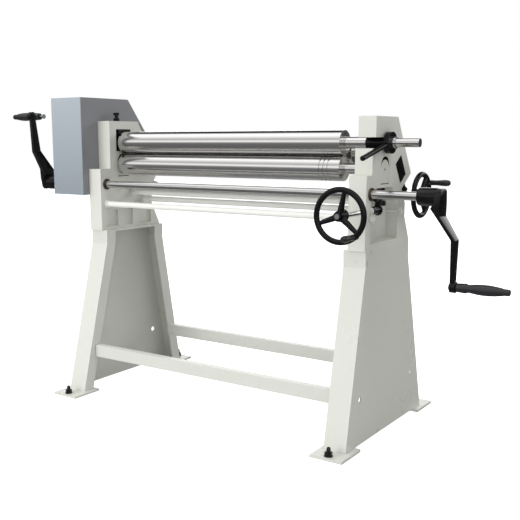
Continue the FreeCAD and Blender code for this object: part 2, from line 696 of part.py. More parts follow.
def grooves():
    """Steps of the three wiring grooves near a roll's right end."""
    steps = []
    for index in (2, 1, 0):
        place = f"({roll_end} - groove_inset - {index} * groove_pitch)"
        steps.append((f"{place} - groove_wide / 2", "roll_dia"))
        steps.append((f"{place} + groove_wide / 2", "roll_dia - 2 * groove_deep"))
    return steps


turned("upper_roll", stepped([
    f"{couple_x} - gear_face / 2 - gear_seat_past", (f"-{outer} - neck_past", "gear_seat"),
    (roll_start, "neck_dia"), (roll_end, "roll_dia"), (f"{roll_end} + right_neck_len", "right_neck_dia"),
    ("upper_shaft_end", "shaft_dia"),
]), ("0", "roll_back", "upper_roll_high"), "X")

turned("lower_roll", stepped([
    f"{wheel_x} - wheel_face / 2 - gear_seat_past", (f"-{outer} - neck_past", "gear_seat"),
    (roll_start, "neck_dia"),
] + grooves() + [
    (roll_end, "roll_dia"), (f"{outer} - blind_wall - 1", "neck_dia"),
]), ("0", "roll_back", "lower_roll_high"), "X")

turned("rear_roll", stepped([
    f"-{inner} - rear_journal_len", (roll_start, "rear_journal"),
] + grooves() + [
    (roll_end, "roll_dia"), (f"{inner} + rear_journal_len", "rear_journal"),
]), ("0", rear_back, rear_high), "X")

spur("upper_gear", "couple_teeth", couple_module, "gear_face", "gear_seat",
     (f"{couple_x} - gear_face / 2", "roll_back", "upper_roll_high"), "180 / couple_teeth")
spur("lower_gear", "couple_teeth", couple_module, "gear_face", "gear_seat",
     (f"{couple_x} - gear_face / 2", "roll_back", "lower_roll_high"), "180")
mesh = f"atan2(drive_back - roll_back; lower_roll_high - drive_high)"
spur("drive_wheel", "wheel_teeth", drive_module, "wheel_face", "gear_seat",
     (f"{wheel_x} - wheel_face / 2", "roll_back", "lower_roll_high"), mesh)
spur("drive_pinion", "pinion_teeth", drive_module, "wheel_face + pinion_wider", "shaft_dia",
     (f"{wheel_x} - (wheel_face + pinion_wider) / 2", "drive_back", "drive_high"),
     f"{mesh} + 180 deg + 180 deg / pinion_teeth")
doc.recompute()

# ---- bearings ------------------------------------------------------------------------


def lower_bearing(side):
    """An arch-topped block that slides in the side frame's slot on its screw."""
    name = "lower_bearing_right" if side > 0 else "lower_bearing_left"
    start = f"{inner} + slide_gap" if side > 0 else f"-{outer} + slide_gap"
    owner = body(name, (start, "0", "0"))
    deep = "(frame_thick - 2 * slide_gap)"
    block = outline(sketch(owner, f"{name}_line", "YZ_Plane"), [
        (f"roll_back - {block_half}", block_base), (f"roll_back + {block_half}", block_base),
        (f"roll_back + {block_half}", "lower_roll_high"), (f"roll_back - {block_half}", "lower_roll_high"),
    ])
    add(owner, f"{name}_block", block, deep)
    arch = ring(sketch(owner, f"{name}_arch", "YZ_Plane"), "roll_back", "lower_roll_high", block_half)
    add(owner, f"{name}_top", arch, deep)
    bore = sketch(owner, f"{name}_bore_ring", "YZ_Plane")
    ring(bore, "roll_back", "lower_roll_high", "neck_dia / 2 + fit / 2")
    sink(owner, f"{name}_bore", bore, f"{deep} - blind_wall" if side > 0 else deep)
    if side > 0:
        oiler = sketch(owner, f"{name}_oil_ring", "YZ_Plane")
        ring(oiler, "roll_back", "lower_roll_high", "oil_hole / 2")
        sink(owner, f"{name}_oil_hole", oiler, deep)
    # seat of the screw's collar, and the screw's thread
    screw_at = f"({spindle_out(side)} - slide_gap)"
    place = screw_at if side > 0 else f"({deep} - {screw_at})"
    for part, radius, depth in (
        ("collar", "(spindle_dia + collar_step + 1) / 2", "collar_seat_deep"),
        ("thread", "spindle_dia / 2 + fit", "thread_deep"),
    ):
        line = sketch(owner, f"{name}_{part}_ring", "XY_Plane", block_base)
        ring(line, place, "roll_back", radius)
        sink(owner, f"{name}_{part}", line, depth)
    return owner


lower_bearing(-1)
lower_bearing(1)


def rear_bearing(side):
    """A block in the slanted slot: the roll turns in one half, the screw runs in the other."""
    name = "rear_bearing_right" if side > 0 else "rear_bearing_left"
    start = f"{inner} + slide_gap" if side > 0 else f"-{outer} + slide_gap"
    owner = leaning(doc.addObject("PartDesign::Body", name), (start, rear_back, rear_high))
    deep = "(frame_thick - 2 * slide_gap)"
    half = "(rear_slot_wide / 2 - slide_gap)"
    block = outline(sketch(owner, f"{name}_line", "YZ_Plane"), [
        (f"-{half}", "-rear_block_half"), (half, "-rear_block_half"),
        (half, "rear_block_half"), (f"-{half}", "rear_block_half"),
    ])
    add(owner, f"{name}_block", block, deep)
    bore_at = "0" if side > 0 else f"{deep} - rear_journal_len - 1"
    bore = sketch(owner, f"{name}_bore_ring", "YZ_Plane", bore_at)
    ring(bore, "0", "0", "rear_journal / 2 + fit / 2")
    sink(owner, f"{name}_bore", bore, "rear_journal_len + 1")
    screw_at = f"({spindle_out(side)} - slide_gap)"
    screw_at = screw_at if side > 0 else f"({deep} - {screw_at})"
    thread = sketch(owner, f"{name}_thread_ring", "XY_Plane", "-rear_block_half")
    ring(thread, screw_at, "0", "rear_spindle_dia / 2 + fit")
    sink(owner, f"{name}_thread", thread, "2 * rear_block_half")
    return owner


rear_bearing(-1)
rear_bearing(1)
doc.recompute()


def swivel_bearing():
    """The upper roll's left bearing: it turns in the window about a pin over the gears."""
    block = box("swivel_block", (
        "frame_thick - 2 * slide_gap", "swivel_rear - swivel_front",
        "window_top - window_base - 2 * slide_gap",
    ), (f"-{outer} + slide_gap", "swivel_front", "window_base + slide_gap"))
    arm = box("swivel_arm", ("couple_out + arm_wide / 2 + arm_root", "arm_wide", "arm_thick"), (
        f"{couple_x} - arm_wide / 2", "roll_back - arm_wide / 2", "window_top - slide_gap - arm_thick",
    ))
    bore = cylinder("swivel_bore", "neck_dia + fit", "frame_thick + 2",
                    (f"-{outer} - 1", "roll_back", "upper_roll_high"))
    hole = cylinder("swivel_pin_hole", "pin_dia + fit", "arm_thick + 2", (
        couple_x, "roll_back", "window_top - slide_gap - arm_thick - 1"), "Z")
    return cut("swivel_bearing", fuse("swivel_solid", [block, arm]), fuse("swivel_holes", [bore, hole]))


def swivel_bracket():
    """The bracket over the coupling gears that holds the swivel bearing's pin."""
    base = "window_top + face_gap"
    deep = "(couple_out + bracket_past)"
    plate = box("bracket_plate", (deep, "bracket_wide", "bracket_thick"),
                (f"-{outer} - {deep}", "roll_back - bracket_wide / 2", base))
    pad = box("bracket_pad", ("pad_thick", "pad_wide", "pad_high"),
              (f"-{outer} - pad_thick", "roll_back - pad_wide / 2", base))
    hole = cylinder("bracket_hole", "pin_dia", "bracket_thick + 2",
                    (couple_x, "roll_back", "window_top"), "Z")
    return cut("swivel_bracket", fuse("bracket_solid", [plate, pad]), hole)


def swivel_pin():
    shank = cylinder("pin_shank", "pin_dia", "arm_thick + bracket_thick + 1",
                     (couple_x, "roll_back", "window_top - arm_thick"), "Z")
    head = cylinder("pin_head", "pin_head", "swivel_head_thick",
                    (couple_x, "roll_back", "window_top + face_gap + bracket_thick"), "Z")
    return fuse("swivel_pin", [shank, head])


swivel_bearing()
swivel_bracket()
swivel_pin()


def clamp_screw():
    """The screw on top of the left frame that steadies the swivel bearing, with its lock nut."""
    head_high = "(frame_top + clamp_free)"
    shank = cylinder("clamp_shank", "clamp_dia", f"{head_high} - window_top + 1",
                     (clamp_x, "roll_back", "window_top"), "Z")
    head = hexagon("clamp_head", "small_nut", "clamp_head_thick", (clamp_x, "roll_back", head_high), "Z")
    fuse("clamp_screw", [shank, head])
    nut = hexagon("clamp_nut_blank", "small_nut", "nut_thick", (clamp_x, "roll_back", "frame_top"), "Z")
    thread = cylinder("clamp_thread", "clamp_dia", "nut_thick + 2",
                      (clamp_x, "roll_back", "frame_top - 1"), "Z")
    return cut("clamp_nut", nut, thread)


clamp_screw()


def latch():
    """The flatted bush that locks the upper roll's right end, with its flange and lever."""
    length = "(frame_thick + flange_off - latch_inset)"
    start = f"{inner} + latch_inset"
    barrel = cylinder("latch_barrel", "seat_dia - fit", length, (start, "roll_back", "upper_roll_high"))
    flats = box("latch_flats", (length, "seat_dia + 2", "mouth_high - 2 * slide_gap"), (
        start, "roll_back - seat_dia / 2 - 1", "upper_roll_high - mouth_high / 2 + slide_gap"))
    bush = doc.addObject("Part::Common", "latch_bush_solid")
    bush.Base = barrel
    bush.Tool = flats
    disc = cylinder("latch_disc", "flange_dia", "flange_thick",
                    (f"{outer} + flange_off", "roll_back", "upper_roll_high"))
    bore = cylinder("latch_bore", "shaft_dia + fit", f"{length} + flange_thick + 2", (
        f"{start} - 1", "roll_back", "upper_roll_high"))
    lever_x = f"({outer} + flange_off + flange_thick / 2)"
    reach = "(flange_dia / 2 - lever_seat)"
    lever_turn = "90 + lever_droop"
    seat = doc.addObject("Part::Cylinder", "latch_lever_bore")
    seat.setExpression("Radius", formula("lever_dia / 2"))
    seat.setExpression("Height", formula("2 * lever_seat"))
    leaning(seat, (lever_x, f"roll_back - {reach} * sin({lever_turn})",
                   f"upper_roll_high + {reach} * cos({lever_turn})"), lever_turn)
    cut("latch_bush", fuse("latch_solid", [bush, disc]), fuse("latch_holes", [bore, seat]))
    owner = turned("latch_lever", [
        (reach, "0"), (reach, "lever_dia / 2"), ("lever_len - lever_round", "lever_dia / 2"),
        ("lever_len - lever_round * 0.3", "lever_dia / 2 - lever_round * 0.4"),
        ("lever_len", "lever_dia / 2 - lever_round"), ("lever_len", "0"),
    ], (lever_x, "roll_back", "upper_roll_high"), "Z")
    leaning(owner, (lever_x, "roll_back", "upper_roll_high"), lever_turn)


latch()
turned("roll_collar", stepped([
    f"{outer} + flange_off + flange_thick + face_gap",
    (f"{outer} + flange_off + flange_thick + face_gap + collar_thick", "collar_dia"),
], "shaft_dia"), ("0", "roll_back", "upper_roll_high"), "X")
doc.recompute()

# ---- lift of the lower roll ----------------------------------------------------------


def lift_screw(side):
    """An upright screw with two mitre gears back to back, carried by the frame's floor."""
    name = "lift_screw_right" if side > 0 else "lift_screw_left"
    x = spindle_x(side)
    low = mitre(f"{name}_low_gear", "0", 0, (x, "roll_back", "hand_high"))
    high = mitre(f"{name}_high_gear", "0", 0, (x, "roll_back", "cross_high"), "-Z")
    hub = cylinder(f"{name}_hub", "lift_hub", "lift_hub_len",
                   (x, "roll_back", "cross_high + mitre_radius + lift_gear_room"), "Z")
    core = cylinder(f"{name}_core", "lift_core", "recess_top - hand_high - mitre_radius",
                    (x, "roll_back", "hand_high + mitre_radius"), "Z")
    screw = cylinder(f"{name}_screw", "spindle_dia", f"{block_base} + screw_engage - recess_top + face_gap",
                     (x, "roll_back", "recess_top - face_gap"), "Z")
    collar = cylinder(f"{name}_collar", "spindle_dia + collar_step", "lift_collar_len",
                      (x, "roll_back", "slot_base + face_gap"), "Z")
    return fuse(name, [low, high, hub, core, screw, collar])


def cross_gear(name, side, back, high, slant=False):
    """A mitre gear pinned on a cross shaft, on the inner side of its screw."""
    axis = "-X" if side > 0 else "X"
    return mitre(name, "cross_dia", 0.5, (spindle_x(side), back, high), axis, slant)


lift_screw(-1)
lift_screw(1)


def cross_shaft(name, back, high, right_end):
    left_end = f"{spindle_x(-1)} + shaft_end_off"
    return turned(name, stepped([left_end, (right_end, "cross_dia")]), ("0", back, high), "X")


cross_shaft("lift_cross_shaft", "roll_back", "cross_high", f"{spindle_x(1)} - shaft_end_off")
group("lift_cross_gears", [
    cross_gear("lift_cross_gear_left", -1, "roll_back", "cross_high"),
    cross_gear("lift_cross_gear_right", 1, "roll_back", "cross_high"),
])

# ---- drive of the rear roll ----------------------------------------------------------

wheel_plane = f"({outer} + rear_wheel_out)"


def rear_screw(side):
    """A slanted screw with a mitre gear at its foot; the block climbs it."""
    name = "rear_screw_right" if side > 0 else "rear_screw_left"
    x = spindle_x(side)
    gear = mitre(f"{name}_gear", "0", 0, (x, apex_back, apex_high), "Z", True)
    floor = "(rear_apex - rear_slot_down)"
    parts = [gear]
    for part, dia, low, high in (
        ("hub", "lift_hub", "gear_back", f"{floor} - rear_floor - face_gap"),
        ("screw", "rear_spindle_dia", "mitre_radius", "rear_apex + rear_block_half + rear_screw_past"),
        ("collar", "rear_spindle_dia + 2 * collar_step", f"{floor} + face_gap",
         f"{floor} + rear_collar_len"),
    ):
        item = doc.addObject("Part::Cylinder", f"{name}_{part}")
        item.setExpression("Radius", formula(f"({dia}) / 2"))
        item.setExpression("Height", formula(f"{high} - ({low})"))
        back = f"{apex_back} - ({low}) * sin(slot_tilt)"
        leaning(item, (x, back, f"{apex_high} + ({low}) * cos(slot_tilt)"))
        parts.append(item)
    return fuse(name, parts)


rear_screw(-1)
rear_screw(1)
cross_shaft("rear_cross_shaft", apex_back, apex_high, f"{wheel_plane} + cross_shaft_past")
group("rear_cross_gears", [
    cross_gear("rear_cross_gear_left", -1, apex_back, apex_high, True),
    cross_gear("rear_cross_gear_right", 1, apex_back, apex_high, True),
])
doc.recompute()


# ---- handwheels ----------------------------------------------------------------------


def hand_wheel(name, dia, bore, at, axis, first_spoke, grip_angle):
    """A three-spoked handwheel; its hub reaches out in front of the rim's plane."""
    middle = f"(({dia}) / 2 - rim_thick / 2)"
    rim = doc.addObject("Part::Torus", f"{name}_rim")
    rim.setExpression("Radius1", formula(middle))
    rim.setExpression("Radius2", formula("rim_thick / 2"))
    hub = doc.addObject("Part::Cone", f"{name}_hub")
    hub.setExpression("Radius1", formula("wheel_hub_back_dia / 2"))
    hub.setExpression("Radius2", formula("wheel_hub_front_dia / 2"))
    hub.setExpression("Height", formula("wheel_hub_back + wheel_hub_front"))
    put(hub, ("0", "0", "-wheel_hub_back"))
    parts = [rim, hub]
    for index in range(3):
        spoke = doc.addObject("Part::Cone", f"{name}_spoke{index}")
        spoke.setExpression("Radius1", formula("spoke_root / 2"))
        spoke.setExpression("Radius2", formula("spoke_tip / 2"))
        spoke.setExpression("Height", formula(middle))
        turn = FreeCAD.Rotation(FreeCAD.Vector(0, 0, 1), value(first_spoke) + 120 * index)
        spoke.Placement = FreeCAD.Placement(FreeCAD.Vector(), turn * turns["X"])
        parts.append(spoke)
    hole = cylinder(f"{name}_bore", bore, "wheel_hub_back + wheel_hub_front + 2",
                    ("0", "0", "-wheel_hub_back - 1"), "Z")
    pin_hole = cylinder(f"{name}_pin_hole", "pin_dia", "2 * rim_thick", (
        f"{middle} * cos({grip_angle})", f"{middle} * sin({grip_angle})", "-rim_thick"), "Z")
    casting, holes = fuse(f"{name}_casting", parts), fuse(f"{name}_holes", [hole, pin_hole])
    return put(cut(name, casting, holes), at, turns[axis])


def wheel_nut(name, bore, at, axis):
    blank = hexagon(f"{name}_blank", "small_nut", "small_nut_thick", ("0", "0", "0"), "Z")
    hole = cylinder(f"{name}_thread", bore, "small_nut_thick + 2", ("0", "0", "-1"), "Z")
    return put(cut(name, blank, hole), at, turns[axis])


def grip(name, length, dia, at, axis):
    """A turned grip, fullest past its middle, free on its pin."""
    return turned(name, [
        ("0", "pin_dia / 2 + fit / 2"), ("0", f"({dia}) * 0.36"), (f"({length}) * 0.04", f"({dia}) * 0.42"),
        (f"({length}) * 0.3", f"({dia}) * 0.39"), (f"({length}) * 0.6", f"({dia}) * 0.47"),
        (f"({length}) * 0.82", f"({dia}) * 0.5"), (f"({length}) * 0.94", f"({dia}) * 0.44"),
        (length, f"({dia}) * 0.28"), (length, "0"), (f"({length}) * 0.9", "0"),
        (f"({length}) * 0.9", "pin_dia / 2 + fit / 2"),
    ], at, axis)


def pin(name, before, length, at, axis):
    """A headed pin that carries a grip; it starts at its head."""
    return turned(name, stepped([
        f"-({before}) - pin_head_thick", (f"-({before})", "pin_head"), (length, "pin_dia")]), at, axis)


hand_wheel("front_wheel", "hand_wheel_dia", "hand_shaft_dia",
           (spindle_x(1), "hand_wheel_plane", "hand_high"), "-Y", "front_spoke_angle", "front_grip_angle")
hand_wheel("rear_wheel", "rear_wheel_dia", "cross_dia", (wheel_plane, apex_back, apex_high), "X",
           "rear_spoke_angle", "90 + rear_grip_angle")
turned("hand_shaft", stepped([
    "-roll_back + shaft_end_off", ("-hand_wheel_plane + hand_shaft_past", "hand_shaft_dia"),
]), (spindle_x(1), "0", "hand_high"), "-Y")
hand_hub = turned("hand_pinion_hub", stepped([
    "gear_back", ("gear_back + hand_hub_len", "lift_hub")], "hand_shaft_dia"),
    (spindle_x(1), "roll_back", "hand_high"), "-Y")
hand_teeth = mitre("hand_pinion_teeth", "hand_shaft_dia", 0.5,
                   (spindle_x(1), "roll_back", "hand_high"), "-Y")
fuse("hand_pinion", [hand_teeth, hand_hub])
wheel_nut("front_wheel_nut", "hand_shaft_dia",
          (spindle_x(1), "hand_wheel_plane - wheel_hub_front", "hand_high"), "-Y")
wheel_nut("rear_wheel_nut", "cross_dia", (f"{wheel_plane} + wheel_hub_front", apex_back, apex_high), "X")
doc.recompute()

# ---- cranks --------------------------------------------------------------------------


def crank(name, at, turn):
    """A cast crank: a hub on the shaft, an arm that steps outwards and an eye for the grip."""
    hub = cylinder(f"{name}_hub", "crank_hub_dia", "crank_hub_len", ("0", "0", "0"))
    straight = "(crank_hub_len + crank_offset)"
    sections = []
    for index, (out, down, half, wide) in enumerate((
        ("crank_hub_len * 0.68", "0", "crank_hub_dia / 2 - 3", "crank_hub_dia / 2 - 3"),
        ("crank_hub_len * 0.74", "crank_bend_start", "crank_hub_dia / 2 - 5", "crank_hub_dia / 2 - 7"),
        ("crank_hub_len + crank_offset * 0.35", "crank_bend_mid",
         "crank_arm_thick / 2 + 3", "crank_arm_wide / 2 + 1"),
        (f"{straight} - 4", "crank_bend_end", "crank_arm_thick / 2 + 1.5", "crank_arm_wide / 2 + 0.5"),
        (straight, "crank_straight", "crank_arm_thick / 2", "crank_arm_wide / 2"),
        (straight, "crank_radius", "crank_arm_thick / 2 - 0.5", "crank_arm_wide / 2 - 0.5"),
    )):
        section = doc.addObject("Part::Ellipse", f"{name}_section{index}")
        wider = value(wide) > value(half)
        section.setExpression("MajorRadius", formula(wide if wider else half))
        section.setExpression("MinorRadius", formula(half if wider else wide))
        quarter = FreeCAD.Rotation(FreeCAD.Vector(0, 0, 1), 90 if wider else 0)
        put(section, (out, "0", f"-({down})"), quarter)
        sections.append(section)
    arm = doc.addObject("Part::Loft", f"{name}_arm")
    arm.Sections = sections
    arm.Solid = True
    near, far = f"{straight} - eye_thick / 2", f"{straight} + eye_thick / 2"
    eye = cylinder(f"{name}_eye", "eye_dia", "eye_thick", (near, "0", "-crank_radius"))
    bore = cylinder(f"{name}_bore", "shaft_dia", "crank_hub_len - crank_hub_wall + 1", ("-1", "0", "0"))
    hole = cylinder(f"{name}_pin_hole", "pin_dia", "eye_thick + 2", (f"{near} - 1", "0", "-crank_radius"))
    # flats beside the eye for the pin's head and the grip
    flats = [
        cylinder(f"{name}_{end}_flat", "eye_seat", "eye_seat_len", (place, "0", "-crank_radius"))
        for end, place in (("head", f"{near} - eye_seat_len"), ("grip", far))
    ]
    made = cut(name, fuse(f"{name}_casting", [hub, arm, eye]), fuse(f"{name}_holes", [bore, hole] + flats))
    return put(made, at, turn)


about_x = FreeCAD.Vector(1, 0, 0)
half_turn = FreeCAD.Rotation(FreeCAD.Vector(0, 0, 1), 180)
crank("crank_right", ("crank_in_right", "drive_back", "drive_high"), turns["Z"])
crank("crank_left", ("-crank_in_left", "drive_back", "drive_high"),
      FreeCAD.Rotation(about_x, 180 - value("crank_lean")) * half_turn)
turned("drive_shaft", stepped([
    "-crank_in_left - crank_hub_len + crank_hub_wall",
    ("crank_in_right + crank_hub_len - crank_hub_wall", "shaft_dia"),
]), ("0", "drive_back", "drive_high"), "X")

right_grip = ("crank_in_right + crank_hub_len + crank_offset", "drive_back", "drive_high - crank_radius")
left_grip = (
    "-(crank_in_left + crank_hub_len + crank_offset)", "drive_back + crank_radius * sin(crank_lean)",
    "drive_high + crank_radius * cos(crank_lean)",
)
for name, at, axis, sign in (("right", right_grip, "X", "1"), ("left", left_grip, "-X", "-1")):
    start = (f"{at[0]} + {sign} * (eye_thick / 2 + grip_gap)", at[1], at[2])
    grip(f"crank_grip_{name}", "grip_len", "grip_dia", start, axis)
    pin(f"crank_pin_{name}", "eye_thick / 2", "eye_thick / 2 + grip_len * pin_share", at, axis)

# the grips of the handwheels stand on their rims
front_rim = "(hand_wheel_dia / 2 - rim_thick / 2)"
rear_rim = "(rear_wheel_dia / 2 - rim_thick / 2)"
front_grip = (f"{spindle_x(1)} + {front_rim} * cos(front_grip_angle)", "hand_wheel_plane",
              f"hand_high + {front_rim} * sin(front_grip_angle)")
rear_grip = (wheel_plane, f"{apex_back} + {rear_rim} * cos(rear_grip_angle)",
             f"{apex_high} + {rear_rim} * sin(rear_grip_angle)")
for name, at, axis in (("front", front_grip, "-Y"), ("rear", rear_grip, "X")):
    if axis == "X":
        start = (f"{at[0]} + rim_thick / 2 + grip_gap", at[1], at[2])
    else:
        start = (at[0], f"{at[1]} - rim_thick / 2 - grip_gap", at[2])
    grip(f"{name}_wheel_grip", "wheel_grip_len", "wheel_grip_dia", start, axis)
    pin(f"{name}_wheel_pin", "rim_thick / 2", "rim_thick / 2 + wheel_grip_len * pin_share", at, axis)
doc.recompute()

# ---- bushes and gear cover -----------------------------------------------------------

bushes = []
for name, start in (("left", f"-{outer}"), ("right", inner)):
    bushes.append(turned(f"drive_bush_{name}", stepped([
        start, (f"{start} + frame_thick", "bush_dia"),
        (f"{start} + frame_thick + bush_flange_thick", "bush_flange"),
    ], "shaft_dia + fit"), ("0", "drive_back", "drive_high"), "X"))
group("drive_bushes", bushes)

cover_start = f"(-{outer} - plate_thick - cover_deep)"


def cover_line(item, wall):
    """The side view of the gear cover, drawn in by a wall."""
    return outline(item, [
        (f"cover_front + {wall}", f"cover_base + {wall}"),
        (f"cover_rear - {wall}", f"cover_base + {wall}"),
        (f"cover_rear - {wall}", f"cover_slope_high - {wall} * 0.4"),
        (f"cover_slope_back - {wall} * 0.4", f"cover_top - {wall}"),
        (f"cover_front + {wall}", f"cover_top - {wall}"),
    ])


cover = body("gear_cover", (cover_start, "0", "0"))
add(cover, "cover_blank", cover_line(sketch(cover, "cover_outside", "YZ_Plane"), "0"), "cover_deep")
inside = cover_line(sketch(cover, "cover_inside", "YZ_Plane", "cover_wall"), "cover_wall")
sink(cover, "cover_hollow", inside, "cover_deep")
shaft_room = "shaft_dia / 2 + cover_hole_gap"
shaft_hole = sketch(cover, "cover_shaft_ring", "YZ_Plane", "-1")
ring(shaft_hole, "drive_back", "drive_high", shaft_room)
sink(cover, "cover_shaft_hole", shaft_hole, "cover_wall + 2")

plate = body("cover_plate", (f"-{outer} - plate_thick", "0", "0"))
add(plate, "plate_blank", cover_line(sketch(plate, "plate_outside", "YZ_Plane"), "0"), "plate_thick")
opening = outline(sketch(plate, "plate_opening", "YZ_Plane", "-1"), [
    ("roll_back - plate_opening_wide / 2", "cover_base - 1"),
    ("roll_back + plate_opening_wide / 2", "cover_base - 1"),
    ("roll_back + plate_opening_wide / 2", "window_top + plate_opening_over"),
    ("roll_back - plate_opening_wide / 2", "window_top + plate_opening_over"),
])
sink(plate, "plate_window", opening, "plate_thick + 2")
shaft_hole = sketch(plate, "plate_shaft_ring", "YZ_Plane", "-1")
ring(shaft_hole, "drive_back", "drive_high", shaft_room)
sink(plate, "plate_shaft_hole", shaft_hole, "plate_thick + 2")
doc.recompute()

for item in doc.Objects:
    if "Invalid" in item.State or "Error" in item.State:
        raise SystemExit(f"{item.Name} failed: {item.State}")

pieces = [
    item for item in doc.Objects
    if item.isDerivedFrom("Part::Feature") and not item.InList and item.TypeId != "Sketcher::SketchObject"
]
os.makedirs("parts", exist_ok=True)
for piece in pieces:
    shape = piece.Shape
    if shape.isNull() or not shape.isValid():
        raise SystemExit(f"{piece.Label} has no valid shape")
    shape.exportStep(f"parts/{piece.Label}.step")
    print(f"{piece.Label:24} {len(shape.Solids)} solids {shape.Volume / 1000:10.1f} cm3")
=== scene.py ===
import math

import bpy
from mathutils import Matrix, Vector


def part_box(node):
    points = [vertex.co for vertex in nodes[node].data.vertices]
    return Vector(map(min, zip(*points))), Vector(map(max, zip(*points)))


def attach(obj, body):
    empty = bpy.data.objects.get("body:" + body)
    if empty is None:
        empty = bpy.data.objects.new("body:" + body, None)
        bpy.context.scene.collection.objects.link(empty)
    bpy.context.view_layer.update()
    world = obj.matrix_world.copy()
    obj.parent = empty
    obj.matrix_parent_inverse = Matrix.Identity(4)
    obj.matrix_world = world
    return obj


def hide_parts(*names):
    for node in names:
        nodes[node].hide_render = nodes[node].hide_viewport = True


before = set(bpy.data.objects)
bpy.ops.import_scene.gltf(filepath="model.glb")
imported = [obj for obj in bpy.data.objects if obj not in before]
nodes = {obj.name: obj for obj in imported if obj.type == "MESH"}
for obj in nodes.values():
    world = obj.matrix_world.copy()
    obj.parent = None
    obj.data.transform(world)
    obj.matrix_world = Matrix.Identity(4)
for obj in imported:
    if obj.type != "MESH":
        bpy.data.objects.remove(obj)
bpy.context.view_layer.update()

print("frame loaded:", len(nodes), "nodes")

# camera
view = {
    "place": (1.8489, -2.7391, 1.0699),
    "turn": 35.293,  # degrees about the upright axis
    "tilt": -11.0,
    "roll": -0.144,
    "lens": 56.75,
    "sensor": 36,
    "shiftX": 0.0742,
    "shiftY": 0.0743,
    "clipEnd": 50,
}


def makeCamera():
    camData = bpy.data.cameras.new("viewCamera")
    camData.lens, camData.sensor_width = view["lens"], view["sensor"]
    camData.shift_x, camData.shift_y = view["shiftX"], view["shiftY"]
    camData.clip_end = view["clipEnd"]
    camera = bpy.data.objects.new("viewCamera", camData)
    bpy.context.scene.collection.objects.link(camera)
    camera.location = view["place"]
    upright = Matrix.Rotation(math.radians(view["turn"]), 3, "Z")
    tilted = Matrix.Rotation(math.radians(90 + view["tilt"]), 3, "X")
    rolled = Matrix.Rotation(math.radians(view["roll"]), 3, "Z")
    camera.rotation_euler = (upright @ tilted @ rolled).to_euler()
    bpy.context.scene.camera = camera


makeCamera()
print("camera set")


# small helpers for node trees; a setting is either a value or another node's output
def addNode(tree, kind, sets=None, **props):
    node = tree.nodes.new(kind)
    for prop, setting in props.items():
        setattr(node, prop, setting)
    for socket, setting in (sets or {}).items():
        if hasattr(setting, "is_output"):
            tree.links.new(setting, node.inputs[socket])
        else:
            node.inputs[socket].default_value = setting
    return node


def calc(tree, operation, first, second=0.0, third=0.0, clamp=False):
    sets = {0: first, 1: second, 2: third}
    return addNode(tree, "ShaderNodeMath", sets, operation=operation, use_clamp=clamp).outputs[0]


def calcVector(tree, operation, first, second):
    return addNode(tree, "ShaderNodeVectorMath", {0: first, 1: second}, operation=operation).outputs[0]


def scaleColour(tree, colour, share):
    return addNode(tree, "ShaderNodeVectorMath", {0: colour, "Scale": share}, operation="SCALE").outputs[0]


def mixColour(tree, factor, first, second):
    return addNode(tree, "ShaderNodeMix", {0: factor, 6: first, 7: second}, data_type="RGBA").outputs[2]


def addNoise(tree, point, scale, detail, roughness=0.5):
    sets = {"Vector": point, "Scale": scale, "Detail": detail, "Roughness": roughness}
    return addNode(tree, "ShaderNodeTexNoise", sets).outputs["Fac"]


def addRange(tree, value, low, high, atLow=0.0, atHigh=1.0):
    sets = {"Value": value, "From Min": low, "From Max": high, "To Min": atLow, "To Max": atHigh}
    return addNode(tree, "ShaderNodeMapRange", sets).outputs[0]


def newGroup(name, ins, outs):
    tree = bpy.data.node_groups.new(name, "ShaderNodeTree")
    for label, kind, setting in ins:
        socket = tree.interface.new_socket(label, in_out="INPUT", socket_type=kind)
        if setting is not None:
            socket.default_value = setting
    for label, kind in outs:
        tree.interface.new_socket(label, in_out="OUTPUT", socket_type=kind)
    return tree, tree.nodes.new("NodeGroupInput").outputs, tree.nodes.new("NodeGroupOutput")


def useGroup(tree, group, sets):
    return addNode(tree, "ShaderNodeGroup", sets, node_tree=group).outputs


# studio: a pale floor, a room that is bright overhead and three soft lamps
studio = {
    "aim": (0, -0.1, 0.75),
    "backdrop": (1, 1, 1, 1),
    "roomGain": 2.0,
    # degrees round the long axis and brightness there: 0 faces the front wall, 90 is overhead
    "room": [
        (-180, 0.03), (-150, 0.12), (-118, 0.30), (-94, 0.22), (-60, 0.17), (-30, 0.17), (-10, 0.21),
        (-2, 0.30), (4, 0.75), (11, 1.35), (17, 1.35), (24, 0.85), (34, 0.62), (45, 0.90), (57, 1.30),
        (73, 1.60), (91, 1.60), (99, 1.10), (107, 0.22), (116, 0.04), (132, 0.02), (145, 0.04),
        (154, 1.99), (171, 1.99), (178, 0.10), (180, 0.03),
    ],
    # towards the ends of the long axis the room goes dark: start, end, share left
    "sideFade": (0.70, 0.97, 0.22),
    "lamps": [
        # name, place, width, height, watts
        ("keyLamp", (-1.6, -5.0, 1.5), 2.6, 2.2, 118),
        ("sideLamp", (4.6, -0.6, 2.4), 2.2, 2.2, 5),
        ("backLamp", (0.6, 4.6, 2.8), 2.6, 2.0, 90),
    ],
}
floorLook = {
    "size": 30,
    "colour": (0.62, 0.62, 0.62, 1),
    "roughness": 0.9,
    "light": (1, 1, 1, 1),
    "glow": 0.90,  # only where the camera looks straight at it
}


